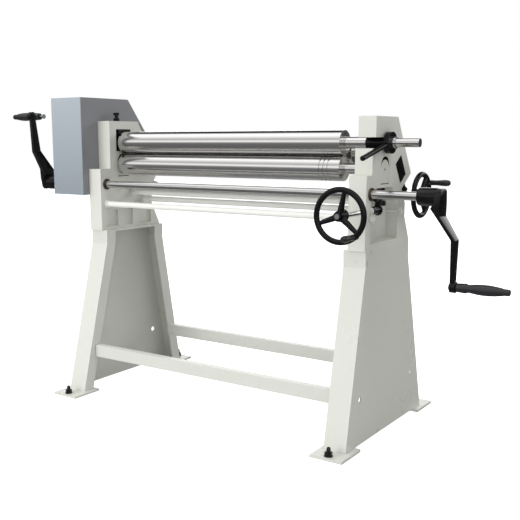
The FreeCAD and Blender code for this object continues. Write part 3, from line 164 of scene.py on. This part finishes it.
def makeRoom():
    world = bpy.data.worlds.new("studioRoom")
    world.use_nodes = True
    bpy.context.scene.world = world
    tree = world.node_tree
    tree.nodes.clear()
    place = addNode(tree, "ShaderNodeTexCoord")
    split = addNode(tree, "ShaderNodeSeparateXYZ", {0: place.outputs["Generated"]})
    front = calc(tree, "MULTIPLY", split.outputs["Y"], -1)
    angle = calc(tree, "ARCTAN2", split.outputs["Z"], front)
    ramp = addNode(tree, "ShaderNodeValToRGB", {"Fac": addRange(tree, angle, -math.pi, math.pi)})
    stops = ramp.color_ramp.elements
    stops.remove(stops[1])
    gain = studio["roomGain"]
    for index, (degrees, light) in enumerate(studio["room"]):
        stop = stops[0] if index == 0 else stops.new((degrees + 180) / 360)
        stop.color = (light / gain, light / gain, light / gain, 1)
    start, end, dark = studio["sideFade"]
    across = calc(tree, "ABSOLUTE", split.outputs["X"])
    fade = addRange(tree, across, start, end, gain, gain * dark)
    soft = addNode(tree, "ShaderNodeBackground", {"Color": ramp.outputs["Color"], "Strength": fade})
    seen = addNode(tree, "ShaderNodeBackground", {"Color": studio["backdrop"], "Strength": 1.0})
    ray = addNode(tree, "ShaderNodeLightPath").outputs["Is Camera Ray"]
    mix = addNode(tree, "ShaderNodeMixShader", {0: ray, 1: soft.outputs[0], 2: seen.outputs[0]})
    addNode(tree, "ShaderNodeOutputWorld", {"Surface": mix.outputs[0]})


def makeFloor():
    bpy.ops.object.select_all(action="DESELECT")
    bpy.ops.mesh.primitive_plane_add(size=floorLook["size"], location=(0, 0, 0))
    floor = bpy.context.object
    floor.name = "studioFloor"
    paper = bpy.data.materials.new("floorPaper")
    paper.use_nodes = True
    tree = paper.node_tree
    shader = tree.nodes["Principled BSDF"]
    shader.inputs["Base Color"].default_value = floorLook["colour"]
    shader.inputs["Roughness"].default_value = floorLook["roughness"]
    shader.inputs["Emission Color"].default_value = floorLook["light"]
    ray = addNode(tree, "ShaderNodeLightPath").outputs["Is Camera Ray"]
    tree.links.new(calc(tree, "MULTIPLY", ray, floorLook["glow"]), shader.inputs["Emission Strength"])
    floor.data.materials.append(paper)
    floor.visible_glossy = False


def makeLamps():
    for name, place, wide, high, power in studio["lamps"]:
        lampData = bpy.data.lights.new(name, "AREA")
        lampData.shape = "RECTANGLE"
        lampData.size, lampData.size_y = wide, high
        lampData.energy = power
        lamp = bpy.data.objects.new(name, lampData)
        bpy.context.scene.collection.objects.link(lamp)
        lamp.location = place
        aim = Vector(studio["aim"]) - Vector(place)
        lamp.rotation_euler = aim.to_track_quat("-Z", "Y").to_euler()
        lamp.visible_glossy = False


makeRoom()
makeFloor()
makeLamps()
bpy.context.scene.view_settings.view_transform = "Standard"
print("studio built")

# effects that several finishes share
softCorner = {"samples": 6, "bendFrom": 0.02, "bendTo": 0.25}
sprayed = {
    "peelDetail": 2.0,
    "peelRoughness": 0.55,
    "cloudScale": 7.0,
    "cloudDetail": 4.0,
    "cloudRoughness": 0.6,
    "cloudGloss": 0.16,  # how far the clouds change the gloss
    "dustScale": 120.0,
    "dustFrom": 0.06,
    "dustTo": 0.09,
    "dustColour": (0.20, 0.19, 0.17, 1),
    "dustGloss": 0.3,
    "patchScale": 17.0,
    "patchDetail": 3.0,
    "patchLevel": 0.6,  # dust lies only where the patches are above this
}
tooled = {
    "ringDetail": 3.0,
    "ringRoughness": 0.7,
    "cloudScale": 14.0,
    "cloudDetail": 5.0,
    "cloudRoughness": 0.65,
}
skinOuts = [("Colour", "NodeSocketColor"), ("Roughness", "NodeSocketFloat"), ("Height", "NodeSocketFloat")]


def makeEdgeGroup():
    # rounds sharp corners in the shading and marks them
    tree, ins, out = newGroup("softCorner", [("Radius", "NodeSocketFloat", 0.0015)], [
        ("Normal", "NodeSocketVector"), ("Corner", "NodeSocketFloat")])
    bevel = addNode(tree, "ShaderNodeBevel", {"Radius": ins["Radius"]}, samples=softCorner["samples"])
    shape = addNode(tree, "ShaderNodeNewGeometry").outputs["Normal"]
    sets = {0: bevel.outputs[0], 1: shape}
    dot = addNode(tree, "ShaderNodeVectorMath", sets, operation="DOT_PRODUCT").outputs["Value"]
    mask = addRange(tree, calc(tree, "SUBTRACT", 1.0, dot), softCorner["bendFrom"], softCorner["bendTo"])
    tree.links.new(bevel.outputs[0], out.inputs["Normal"])
    tree.links.new(mask, out.inputs["Corner"])
    return tree


def makeSkinGroup():
    # sprayed paint: fine orange peel, faint clouds of tone, a few dust specks
    tree, ins, out = newGroup("sprayedSkin", [
        ("Point", "NodeSocketVector", None), ("Colour", "NodeSocketColor", None),
        ("Peel Size", "NodeSocketFloat", 0.004), ("Cloud", "NodeSocketFloat", 0.03),
        ("Gloss", "NodeSocketFloat", 0.35), ("Grime", "NodeSocketFloat", 0.1),
    ], skinOuts)
    point = ins["Point"]
    fine = calc(tree, "DIVIDE", 1.0, ins["Peel Size"])
    peel = addNoise(tree, point, fine, sprayed["peelDetail"], sprayed["peelRoughness"])
    cloud = addNoise(tree, point, sprayed["cloudScale"], sprayed["cloudDetail"], sprayed["cloudRoughness"])
    spread = calc(tree, "SUBTRACT", cloud, 0.5)
    toned = scaleColour(tree, ins["Colour"], calc(tree, "MULTIPLY_ADD", spread, ins["Cloud"], 1.0))
    cells = addNode(tree, "ShaderNodeTexVoronoi", {"Vector": point, "Scale": sprayed["dustScale"]})
    dots = addRange(tree, cells.outputs["Distance"], sprayed["dustFrom"], sprayed["dustTo"], 1.0, 0.0)
    patch = addNoise(tree, point, sprayed["patchScale"], sprayed["patchDetail"])
    rare = calc(tree, "GREATER_THAN", patch, sprayed["patchLevel"])
    dust = calc(tree, "MULTIPLY", calc(tree, "MULTIPLY", dots, rare), ins["Grime"])
    rough = calc(tree, "MULTIPLY_ADD", spread, sprayed["cloudGloss"], ins["Gloss"])
    dusty = calc(tree, "ADD", rough, calc(tree, "MULTIPLY", dust, sprayed["dustGloss"]), clamp=True)
    tree.links.new(mixColour(tree, dust, toned, sprayed["dustColour"]), out.inputs["Colour"])
    tree.links.new(dusty, out.inputs["Roughness"])
    tree.links.new(peel, out.inputs["Height"])
    return tree


def makeBoxGroup():
    # one inside a box, nothing outside it
    tree, ins, out = newGroup("boxMask", [
        ("Point", "NodeSocketVector", None), ("Centre", "NodeSocketVector", None),
        ("Reach", "NodeSocketVector", None),
    ], [("Mask", "NodeSocketFloat")])
    away = calcVector(tree, "SUBTRACT", ins["Point"], ins["Centre"])
    size = addNode(tree, "ShaderNodeVectorMath", {0: away}, operation="ABSOLUTE").outputs[0]
    over = calcVector(tree, "SUBTRACT", size, ins["Reach"])
    x, y, z = addNode(tree, "ShaderNodeSeparateXYZ", {0: over}).outputs
    worst = calc(tree, "MAXIMUM", calc(tree, "MAXIMUM", x, y), z)
    tree.links.new(calc(tree, "LESS_THAN", worst, 0.0), out.inputs["Mask"])
    return tree


def makeToolGroup():
    # marks of a lathe or grinder: fine rings across the axis, with a little cloudiness
    tree, ins, out = newGroup("toolMarks", [
        ("Point", "NodeSocketVector", None), ("Colour", "NodeSocketColor", None),
        ("Gloss", "NodeSocketFloat", 0.2), ("Stretch", "NodeSocketVector", None),
        ("Strength", "NodeSocketFloat", 0.1), ("Stain", "NodeSocketFloat", 0.1),
    ], skinOuts)
    point = ins["Point"]
    drawn = calcVector(tree, "MULTIPLY", point, ins["Stretch"])
    rings = addNoise(tree, drawn, 1.0, tooled["ringDetail"], tooled["ringRoughness"])
    cloud = addNoise(tree, point, tooled["cloudScale"], tooled["cloudDetail"], tooled["cloudRoughness"])
    ringSpread = calc(tree, "SUBTRACT", rings, 0.5)
    cloudSpread = calc(tree, "SUBTRACT", cloud, 0.5)
    rough = calc(tree, "MULTIPLY_ADD", ringSpread, ins["Strength"], ins["Gloss"])
    rough = calc(tree, "MULTIPLY_ADD", cloudSpread, ins["Stain"], rough, clamp=True)
    tone = calc(tree, "MULTIPLY_ADD", cloudSpread, ins["Stain"], 1.0)
    tone = calc(tree, "MULTIPLY_ADD", ringSpread, ins["Strength"], tone)
    tree.links.new(scaleColour(tree, ins["Colour"], tone), out.inputs["Colour"])
    tree.links.new(rough, out.inputs["Roughness"])
    tree.links.new(rings, out.inputs["Height"])
    return tree


edgeGroup, skinGroup = makeEdgeGroup(), makeSkinGroup()
boxGroup, toolGroup = makeBoxGroup(), makeToolGroup()


def startMaterial(name):
    material = bpy.data.materials.new(name)
    material.use_nodes = True
    tree = material.node_tree
    point = addNode(tree, "ShaderNodeTexCoord").outputs["Object"]
    return material, tree, tree.nodes["Principled BSDF"], point


def spraySkin(tree, point, look):
    return useGroup(tree, skinGroup, {
        "Point": point, "Colour": look["colour"], "Peel Size": look["peel"],
        "Cloud": look["cloud"], "Gloss": look["gloss"], "Grime": look["grime"]})


def markSkin(tree, point, look):
    return useGroup(tree, toolGroup, {
        "Point": point, "Colour": look["colour"], "Gloss": look["gloss"],
        "Stretch": look["stretch"], "Strength": look["strength"], "Stain": look["stain"]})


def finishNormal(tree, shader, height, depth, edge):
    # paint or tool marks over the softened corners
    bump = addNode(tree, "ShaderNodeBump", {
        "Height": height, "Distance": depth, "Normal": edge["Normal"], "Strength": 1.0})
    tree.links.new(bump.outputs[0], shader.inputs["Normal"])


paints = {
    # colour, gloss, orange peel size and depth, clouds, grime, corner radius, painted highlight on corners
    "castPaint": dict(
        colour=(0.655, 0.660, 0.605, 1), gloss=0.34, peel=0.0045, depth=0.00009, cloud=0.05,
        grime=0.12, radius=0.0022, corner=0.10, ways=True),
    "sheetPaint": dict(
        colour=(0.635, 0.645, 0.595, 1), gloss=0.30, peel=0.0022, depth=0.00003, cloud=0.03,
        grime=0.08, radius=0.0020, corner=0.08),
    # painted light: the frame's cream paint made lighter on the tie bars, standing in for the light they
    # get
    "tieLitPaint": dict(
        colour=(0.800, 0.805, 0.765, 1), gloss=0.32, peel=0.0022, depth=0.00003, cloud=0.03,
        grime=0.08, radius=0.0015, corner=0.08),
    "platePaint": dict(
        colour=(0.222, 0.226, 0.240, 1), gloss=0.36, peel=0.0020, depth=0.00004, cloud=0.05,
        grime=0.08, radius=0.0012, corner=0.10),
    # painted shade: the cover's colour darkens downwards, standing in for less light from overhead: lowest
    # and highest level, colour at the lowest
    "coverPaint": dict(
        colour=(0.375, 0.415, 0.455, 1), gloss=0.33, peel=0.0020, depth=0.00004, cloud=0.04,
        grime=0.08, radius=0.0012, corner=0.10, shadeDownwards=(0.84, 1.24, (0.25, 0.28, 0.315, 1))),
    "blackEnamel": dict(
        colour=(0.006, 0.006, 0.0065, 1), gloss=0.10, peel=0.0060, depth=0.00002, cloud=0.05,
        grime=0.02, radius=0.0016, corner=0.01, shine=0.20),
    "gripPlastic": dict(
        colour=(0.020, 0.020, 0.022, 1), gloss=0.26, peel=0.0012, depth=0.00002, cloud=0.05,
        grime=0.03, radius=0.0010, corner=0.02, shine=0.4),
}
# painted highlight: corners of paint are lightened in colour: gain on the mask, then gain and lift on the
# colour
cornerHighlight = {"mask": 3, "gain": 1.25, "lift": 0.02}
# near-black colour for the ways: oily iron, and painted shade inside the slots and bores
oilAndShade = {"colour": (0.022, 0.021, 0.020, 1), "dull": 0.12}
# ways and bores in the frames that stay bare and oily, painted near black as well to stand in for the
# shade deep inside them: centre, reach and whether both frames have it
shadedWays = [
    ((0.6105, -0.045, 0.9620), (0.0326, 0.0346, 0.0492), True),  # slots of the lower bearings
    ((-0.6105, -0.040, 1.0670), (0.0326, 0.0466, 0.0466), False),  # window of the swivel block
    ((0.6105, -0.045, 1.0570), (0.0326, 0.0240, 0.0240), False),  # seat of the latch
    ((0.6105, -0.098, 1.0570), (0.0326, 0.0700, 0.0184), False),  # mouth of the latch
]
# the slanted slots of the rear bearings: a box in axes that are tilted about this origin
slantWay = {
    "origin": (0, 0.0505, 1.022),
    "tilt": 34,  # degrees
    "centre": (0.6105, 0, -0.034),
    "reach": (0.0326, 0.0290, 0.0826),
}


def oilyShadeMask(tree, point):
    # what both frames have is found with X taken without its sign
    x, y, z = addNode(tree, "ShaderNodeSeparateXYZ", {0: point}).outputs
    folded = addNode(tree, "ShaderNodeCombineXYZ", {0: calc(tree, "ABSOLUTE", x), 1: y, 2: z}).outputs[0]
    moved = calcVector(tree, "SUBTRACT", folded, slantWay["origin"])
    turned = addNode(tree, "ShaderNodeVectorRotate", {
        "Vector": moved, "Center": (0, 0, 0), "Angle": math.radians(-slantWay["tilt"])},
        rotation_type="X_AXIS")
    boxes = [(folded if both else point, centre, reach) for centre, reach, both in shadedWays]
    boxes.append((turned.outputs[0], slantWay["centre"], slantWay["reach"]))
    total = 0.0
    for where, centre, reach in boxes:
        mask = useGroup(tree, boxGroup, {"Point": where, "Centre": centre, "Reach": reach})["Mask"]
        total = calc(tree, "MAXIMUM", mask, total)
    return total


def paintMaterial(name):
    look = paints[name]
    material, tree, shader, point = startMaterial(name)
    skin = spraySkin(tree, point, look)
    edge = useGroup(tree, edgeGroup, {"Radius": look["radius"]})
    gain, lift = cornerHighlight["gain"], cornerHighlight["lift"]
    # painted highlight: a lighter paint colour laid on the corners
    light = tuple(min(1, part * gain + lift) for part in look["colour"][:3]) + (1,)
    corner = calc(tree, "MULTIPLY", edge["Corner"], look["corner"] * cornerHighlight["mask"])
    colour, rough = mixColour(tree, corner, skin["Colour"], light), skin["Roughness"]
    # painted shade: the colour goes darker towards the bottom of the cover
    if "shadeDownwards" in look:
        lowest, highest, shadedColour = look["shadeDownwards"]
        level = addNode(tree, "ShaderNodeSeparateXYZ", {0: point}).outputs["Z"]
        colour = mixColour(tree, addRange(tree, level, lowest, highest, 1.0, 0.0), colour, shadedColour)
    if "ways" in look:
        # oily iron with painted shade: the ways and bores go near black
        mask = oilyShadeMask(tree, point)
        colour = mixColour(tree, mask, colour, oilAndShade["colour"])
        rough = calc(tree, "MULTIPLY_ADD", mask, oilAndShade["dull"], rough)
    tree.links.new(colour, shader.inputs["Base Color"])
    tree.links.new(rough, shader.inputs["Roughness"])
    shader.inputs["Specular IOR Level"].default_value = look.get("shine", 0.5)
    finishNormal(tree, shader, skin["Height"], look["depth"], edge)
    return material


metals = {
    # colour, gloss, ring stretch, strength, stain, depth of marks, corner radius
    "rollSteel": dict(
        colour=(0.66, 0.65, 0.645, 1), gloss=0.14, stretch=(2400, 40, 40), strength=0.05, stain=0.05,
        depth=0.0000015, radius=0.0010),
    "shaftSteel": dict(
        colour=(0.58, 0.575, 0.57, 1), gloss=0.20, stretch=(1500, 30, 30), strength=0.10, stain=0.12,
        depth=0.000003, radius=0.0008),
    "turnedSteel": dict(
        colour=(0.46, 0.46, 0.455, 1), gloss=0.28, stretch=(900, 900, 900), strength=0.14, stain=0.16,
        depth=0.000006, radius=0.0008),
    "gearSteel": dict(
        colour=(0.055, 0.055, 0.058, 1), gloss=0.26, stretch=(700, 700, 700), strength=0.12, stain=0.20,
        depth=0.000008, radius=0.0007),
    "bearingIron": dict(
        colour=(0.035, 0.034, 0.033, 1), gloss=0.38, stretch=(600, 600, 600), strength=0.14, stain=0.20,
        depth=0.000010, radius=0.0010),
    # dark oily bronze, also darkened as painted shade of the bores the bushes sit in
    "bushBronze": dict(
        colour=(0.13, 0.095, 0.06, 1), gloss=0.36, stretch=(1200, 60, 60), strength=0.12, stain=0.20,
        depth=0.000006, radius=0.0006),
    "blackOxide": dict(
        colour=(0.045, 0.045, 0.048, 1), gloss=0.33, stretch=(800, 800, 800), strength=0.12, stain=0.20,
        depth=0.000006, radius=0.0005),
}


def metalMaterial(name):
    look = metals[name]
    material, tree, shader, point = startMaterial(name)
    marks = markSkin(tree, point, look)
    edge = useGroup(tree, edgeGroup, {"Radius": look["radius"]})
    shader.inputs["Metallic"].default_value = 1.0
    tree.links.new(marks["Colour"], shader.inputs["Base Color"])
    tree.links.new(marks["Roughness"], shader.inputs["Roughness"])
    finishNormal(tree, shader, marks["Height"], look["depth"], edge)
    return material


blocks = {
    "middle": 0.6105,  # X of the frames' middle
    "bareReach": 0.0321,  # bare iron within this of the middle, paint on the faces outside it
    "radius": 0.0012,
    "depth": 0.00003,
}


def blockMaterial(name):
    # bearing blocks: painted with the frame outside, bare iron where they slide
    material, tree, shader, point = startMaterial(name)
    skin = spraySkin(tree, point, paints["castPaint"])
    marks = markSkin(tree, point, metals["bearingIron"])
    edge = useGroup(tree, edgeGroup, {"Radius": blocks["radius"]})
    across = calc(tree, "ABSOLUTE", addNode(tree, "ShaderNodeSeparateXYZ", {0: point}).outputs["X"])
    away = calc(tree, "ABSOLUTE", calc(tree, "SUBTRACT", across, blocks["middle"]))
    face = calc(tree, "GREATER_THAN", away, blocks["bareReach"])
    rough = addNode(tree, "ShaderNodeMix", {0: face, 2: marks["Roughness"], 3: skin["Roughness"]})
    tree.links.new(mixColour(tree, face, marks["Colour"], skin["Colour"]), shader.inputs["Base Color"])
    tree.links.new(calc(tree, "SUBTRACT", 1.0, face), shader.inputs["Metallic"])
    tree.links.new(rough.outputs[0], shader.inputs["Roughness"])
    finishNormal(tree, shader, skin["Height"], blocks["depth"], edge)
    return material


# each finish and the nodes that wear it
finishes = {
    "castPaint": ["frame_left", "frame_right"],
    "sheetPaint": ["leg_left", "leg_right", "foot_plates", "rail_front", "rail_rear", "tie_nuts"],
    "tieLitPaint": ["tie_bar_front", "tie_bar_middle", "tie_bar_rear"],
    "coverPaint": ["gear_cover"],
    "platePaint": ["cover_plate"],
    "blackEnamel": ["crank_right", "crank_left", "front_wheel", "rear_wheel", "latch_bush", "latch_lever"],
    "gripPlastic": ["crank_grip_right", "crank_grip_left", "front_wheel_grip", "rear_wheel_grip"],
    "blockPaint": [
        "lower_bearing_left", "lower_bearing_right", "rear_bearing_left", "rear_bearing_right"],
    "rollSteel": ["upper_roll", "lower_roll", "rear_roll"],
    "shaftSteel": ["drive_shaft", "lift_cross_shaft", "rear_cross_shaft", "hand_shaft", "roll_collar"],
    "turnedSteel": [
        "crank_pin_right", "crank_pin_left", "front_wheel_pin", "rear_wheel_pin", "swivel_pin"],
    "gearSteel": [
        "upper_gear", "lower_gear", "drive_wheel", "drive_pinion", "lift_screw_left", "lift_screw_right",
        "lift_cross_gears", "rear_screw_left", "rear_screw_right", "rear_cross_gears", "hand_pinion"],
    "bearingIron": ["swivel_bearing", "swivel_bracket"],
    "bushBronze": ["drive_bushes"],
    "blackOxide": ["clamp_screw", "clamp_nut", "front_wheel_nut", "rear_wheel_nut"],
}
materials = {}
for finish, names in finishes.items():
    if finish in paints:
        materials[finish] = paintMaterial(finish)
    elif finish in metals:
        materials[finish] = metalMaterial(finish)
    else:
        materials[finish] = blockMaterial(finish)
    for name in names:
        nodes[name].data.materials.clear()
        nodes[name].data.materials.append(materials[finish])
print("finishes set, nodes without one:", sorted(set(nodes).difference(*finishes.values())))

# modelling helpers: a flat outline is added, then drawn out section by section, in mm
shaping = {
    "mm": 1000,  # in a metre
    "weld": 0.00001,
    "bevelSteps": 3,
    "smoothAngle": 40,
}


def clearSelection():
    bpy.ops.object.select_all(action="DESELECT")


def startPiece(name):
    # the primitive that was just added is shaped in edit mode
    piece = bpy.context.object
    piece.name = name
    bpy.ops.object.mode_set(mode="EDIT")
    bpy.ops.mesh.select_all(action="SELECT")
    return piece


def closePiece(piece, place=(0, 0, 0), turn=(0, 0, 0), corner=0.0):
    bpy.ops.mesh.select_all(action="SELECT")
    bpy.ops.mesh.remove_doubles(threshold=shaping["weld"])
    bpy.ops.mesh.normals_make_consistent(inside=False)
    bpy.ops.object.mode_set(mode="OBJECT")
    if corner:
        rounding = piece.modifiers.new("rounding", "BEVEL")
        rounding.width, rounding.segments = corner, shaping["bevelSteps"]
        rounding.limit_method = "ANGLE"
        bpy.ops.object.modifier_apply(modifier=rounding.name)
    piece.rotation_euler, piece.location = turn, place
    bpy.ops.object.transform_apply(location=True, rotation=True, scale=True)
    bpy.ops.object.shade_smooth_by_angle(angle=math.radians(shaping["smoothAngle"]))
    return piece


def turnedPiece(name, profile, place, direction, sides=48):
    # profile: distance along the axis and radius, from zero on
    mm = shaping["mm"]
    clearSelection()
    bpy.ops.mesh.primitive_circle_add(
        vertices=sides, radius=profile[0][1] / mm, fill_type="NGON", location=(0, 0, 0))
    piece = startPiece(name)
    for (lastAlong, lastRadius), (along, radius) in zip(profile, profile[1:]):
        step = (0, 0, (along - lastAlong) / mm)
        share = radius / lastRadius
        bpy.ops.mesh.extrude_region_move(TRANSFORM_OT_translate={"value": step})
        bpy.ops.transform.resize(value=(share, share, 1), center_override=(0, 0, along / mm))
    return closePiece(piece, place, Vector(direction).to_track_quat("Z", "Y").to_euler())


def drawnBar(name, stations, corner):
    # stations: depth below the axis, inner and outer X, half the width in Y
    mm = shaping["mm"]
    clearSelection()
    bpy.ops.mesh.primitive_plane_add(size=1, location=(0, 0, 0))
    bar = startPiece(name)
    lastMiddle, lastThick, lastWide = None, 1, 1
    for down, inner, outer, half in stations:
        middle = Vector(((inner + outer) / 2 / mm, 0, -down / mm))
        thick, wide = (outer - inner) / mm, half * 2 / mm
        if lastMiddle is None:
            bpy.ops.transform.translate(value=middle)
        else:
            bpy.ops.mesh.extrude_region_move(TRANSFORM_OT_translate={"value": middle - lastMiddle})
        bpy.ops.transform.resize(value=(thick / lastThick, wide / lastWide, 1), center_override=middle)
        lastMiddle, lastThick, lastWide = middle, thick, wide
    return closePiece(bar, corner=corner)


def joinPieces(name, pieces):
    clearSelection()
    for piece in pieces:
        piece.select_set(True)
    bpy.context.view_layer.objects.active = pieces[0]
    bpy.ops.object.join()
    pieces[0].name = name
    return pieces[0]


def copyPiece(piece, name, place, turn=(0, 0, 0)):
    clearSelection()
    twin = piece.copy()
    twin.data = piece.data.copy()
    twin.name = name
    bpy.context.scene.collection.objects.link(twin)
    twin.select_set(True)
    bpy.context.view_layer.objects.active = twin
    twin.rotation_euler, twin.location = turn, place
    bpy.ops.object.transform_apply(location=True, rotation=True, scale=True)
    return twin


def dress(piece, finish, body, replaced=()):
    piece.data.materials.clear()
    piece.data.materials.append(materials[finish])
    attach(piece, body)
    if replaced:
        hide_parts(*replaced)


# cranks: a hub, a flat arm with two bends and an eye for the grip
crank = {
    "shaft": (-0.153, 0.884),  # Y and Z of the drive shaft
    "startRight": 0.814,  # X of each hub's inner end
    "startLeft": -0.858,
    "lean": -6,  # turn of the left crank about the shaft, in degrees
    "hub": [(0, 25), (1.5, 28), (5, 30), (60, 30), (80, 29), (84, 25)],
    "arm": [(-28, 68, 84, 22), (-18, 64, 85, 31), (18, 62, 85, 34), (36, 52, 85, 34), (62, 72, 85, 33),
            (136, 121, 136, 21), (284, 122, 136, 14)],
    "armCorner": 0.003,
    "eye": [(0, 15), (1.5, 18.5), (20, 18.5), (21.5, 15)],
    "eyePlace": (0.1205, 0, -0.290),
}


def makeCranks():
    arm = drawnBar("crankArm", crank["arm"], crank["armCorner"])
    hub = turnedPiece("crankHub", crank["hub"], (0, 0, 0), (1, 0, 0))
    eye = turnedPiece("crankEye", crank["eye"], crank["eyePlace"], (1, 0, 0))
    model = joinPieces("crankModel", [arm, hub, eye])
    leftTurn = (math.radians(crank["lean"]), math.pi, 0)
    right = copyPiece(model, "crankCastingRight", (crank["startRight"], *crank["shaft"]))
    left = copyPiece(model, "crankCastingLeft", (crank["startLeft"], *crank["shaft"]), leftTurn)
    bpy.data.objects.remove(model)
    dress(right, "blackEnamel", "drive", ["crank_right"])
    dress(left, "blackEnamel", "drive", ["crank_left"])


# crank grips: a collar, a neck, a full belly and a ferrule at the end
crankGrip = {
    "profile": [
        (0, 12), (1, 14.5), (22, 16), (30, 16.5), (33, 15.5), (36, 13.6), (42, 13.5), (52, 15), (68, 17),
        (86, 18), (102, 18), (122, 16.5), (140, 14), (151, 12), (152, 11.2), (168, 10.8), (171, 9.5),
        (172, 7.5)],
}


def makeCrankGrips():
    for name, body, sign in (("right", "right_grip", 1), ("left", "left_grip", -1)):
        low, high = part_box("crank_grip_" + name)
        middle = (Vector(low) + Vector(high)) / 2
        place = (low[0] if sign > 0 else high[0], middle[1], middle[2])
        grip = turnedPiece("crankGrip" + name.title(), crankGrip["profile"], place, (sign, 0, 0))
        dress(grip, "gripPlastic", body, ["crank_grip_" + name])


# handwheel rims, fuller than the ones that they cover and a little flatter than round
rims = {
    "frontWheelRim": dict(
        middle=(0.630, -0.354, 0.825), turn=(math.pi / 2, 0, 0), flat=(1, 0.88, 1), radius=0.0852,
        tube=0.0098, body="front_handwheel"),
    "rearWheelRim": dict(
        middle=(0.7005, 0.15451, 0.8678), turn=(0, math.pi / 2, 0), flat=(0.88, 1, 1), radius=0.0755,
        tube=0.0100, body="rear_handwheel"),
}
rimSteps = {"around": 96, "across": 24}


def makeRims():
    for name, rim in rims.items():
        clearSelection()
        bpy.ops.mesh.primitive_torus_add(
            major_radius=rim["radius"], minor_radius=rim["tube"], major_segments=rimSteps["around"],
            minor_segments=rimSteps["across"], location=rim["middle"], rotation=rim["turn"])
        piece = startPiece(name)
        bpy.ops.transform.resize(value=rim["flat"], center_override=rim["middle"])
        bpy.ops.object.mode_set(mode="OBJECT")
        bpy.ops.object.transform_apply(location=True, rotation=True, scale=True)
        bpy.ops.object.shade_smooth()
        dress(piece, "blackEnamel", rim["body"])


# floor bolts: washer, nut and a pointed stud
footBolt = {
    "places": [(0.6215, -0.377), (0.6215, 0.377), (-0.6215, 0.377), (-0.6215, -0.377)],
    "plateTop": 0.010,
    "washer": [(0, 15), (0.4, 15.4), (2.6, 15.4), (3, 15)],
    "washerSides": 40,
    "nut": [(0, 13.2), (0.6, 13.85), (12.4, 13.85), (13, 13.0)],
    "nutPlace": (0, 0, 0.003),
    "stud": [(0, 7), (29, 7), (32, 5), (33.5, 1.5)],
    "studSides": 32,
    "firstTurn": 8,  # degrees, so that no two nuts stand alike
    "turnStep": 17,
}


def makeFootBolts():
    up = (0, 0, 1)
    washer = turnedPiece("boltWasher", footBolt["washer"], (0, 0, 0), up, sides=footBolt["washerSides"])
    nut = turnedPiece("boltNut", footBolt["nut"], footBolt["nutPlace"], up, sides=6)
    stud = turnedPiece("boltStud", footBolt["stud"], (0, 0, 0), up, sides=footBolt["studSides"])
    model = joinPieces("footBoltModel", [washer, nut, stud])
    for index, (x, y) in enumerate(footBolt["places"]):
        turn = math.radians(footBolt["firstTurn"] + footBolt["turnStep"] * index)
        bolt = copyPiece(model, "footBolt%d" % (index + 1), (x, y, footBolt["plateTop"]), (0, 0, turn))
        dress(bolt, "blackOxide", "base")
    bpy.data.objects.remove(model)


makeCranks()
makeCrankGrips()
print("cranks and grips modelled")
makeRims()
print("handwheel rims modelled")
makeFootBolts()
print("floor bolts modelled")
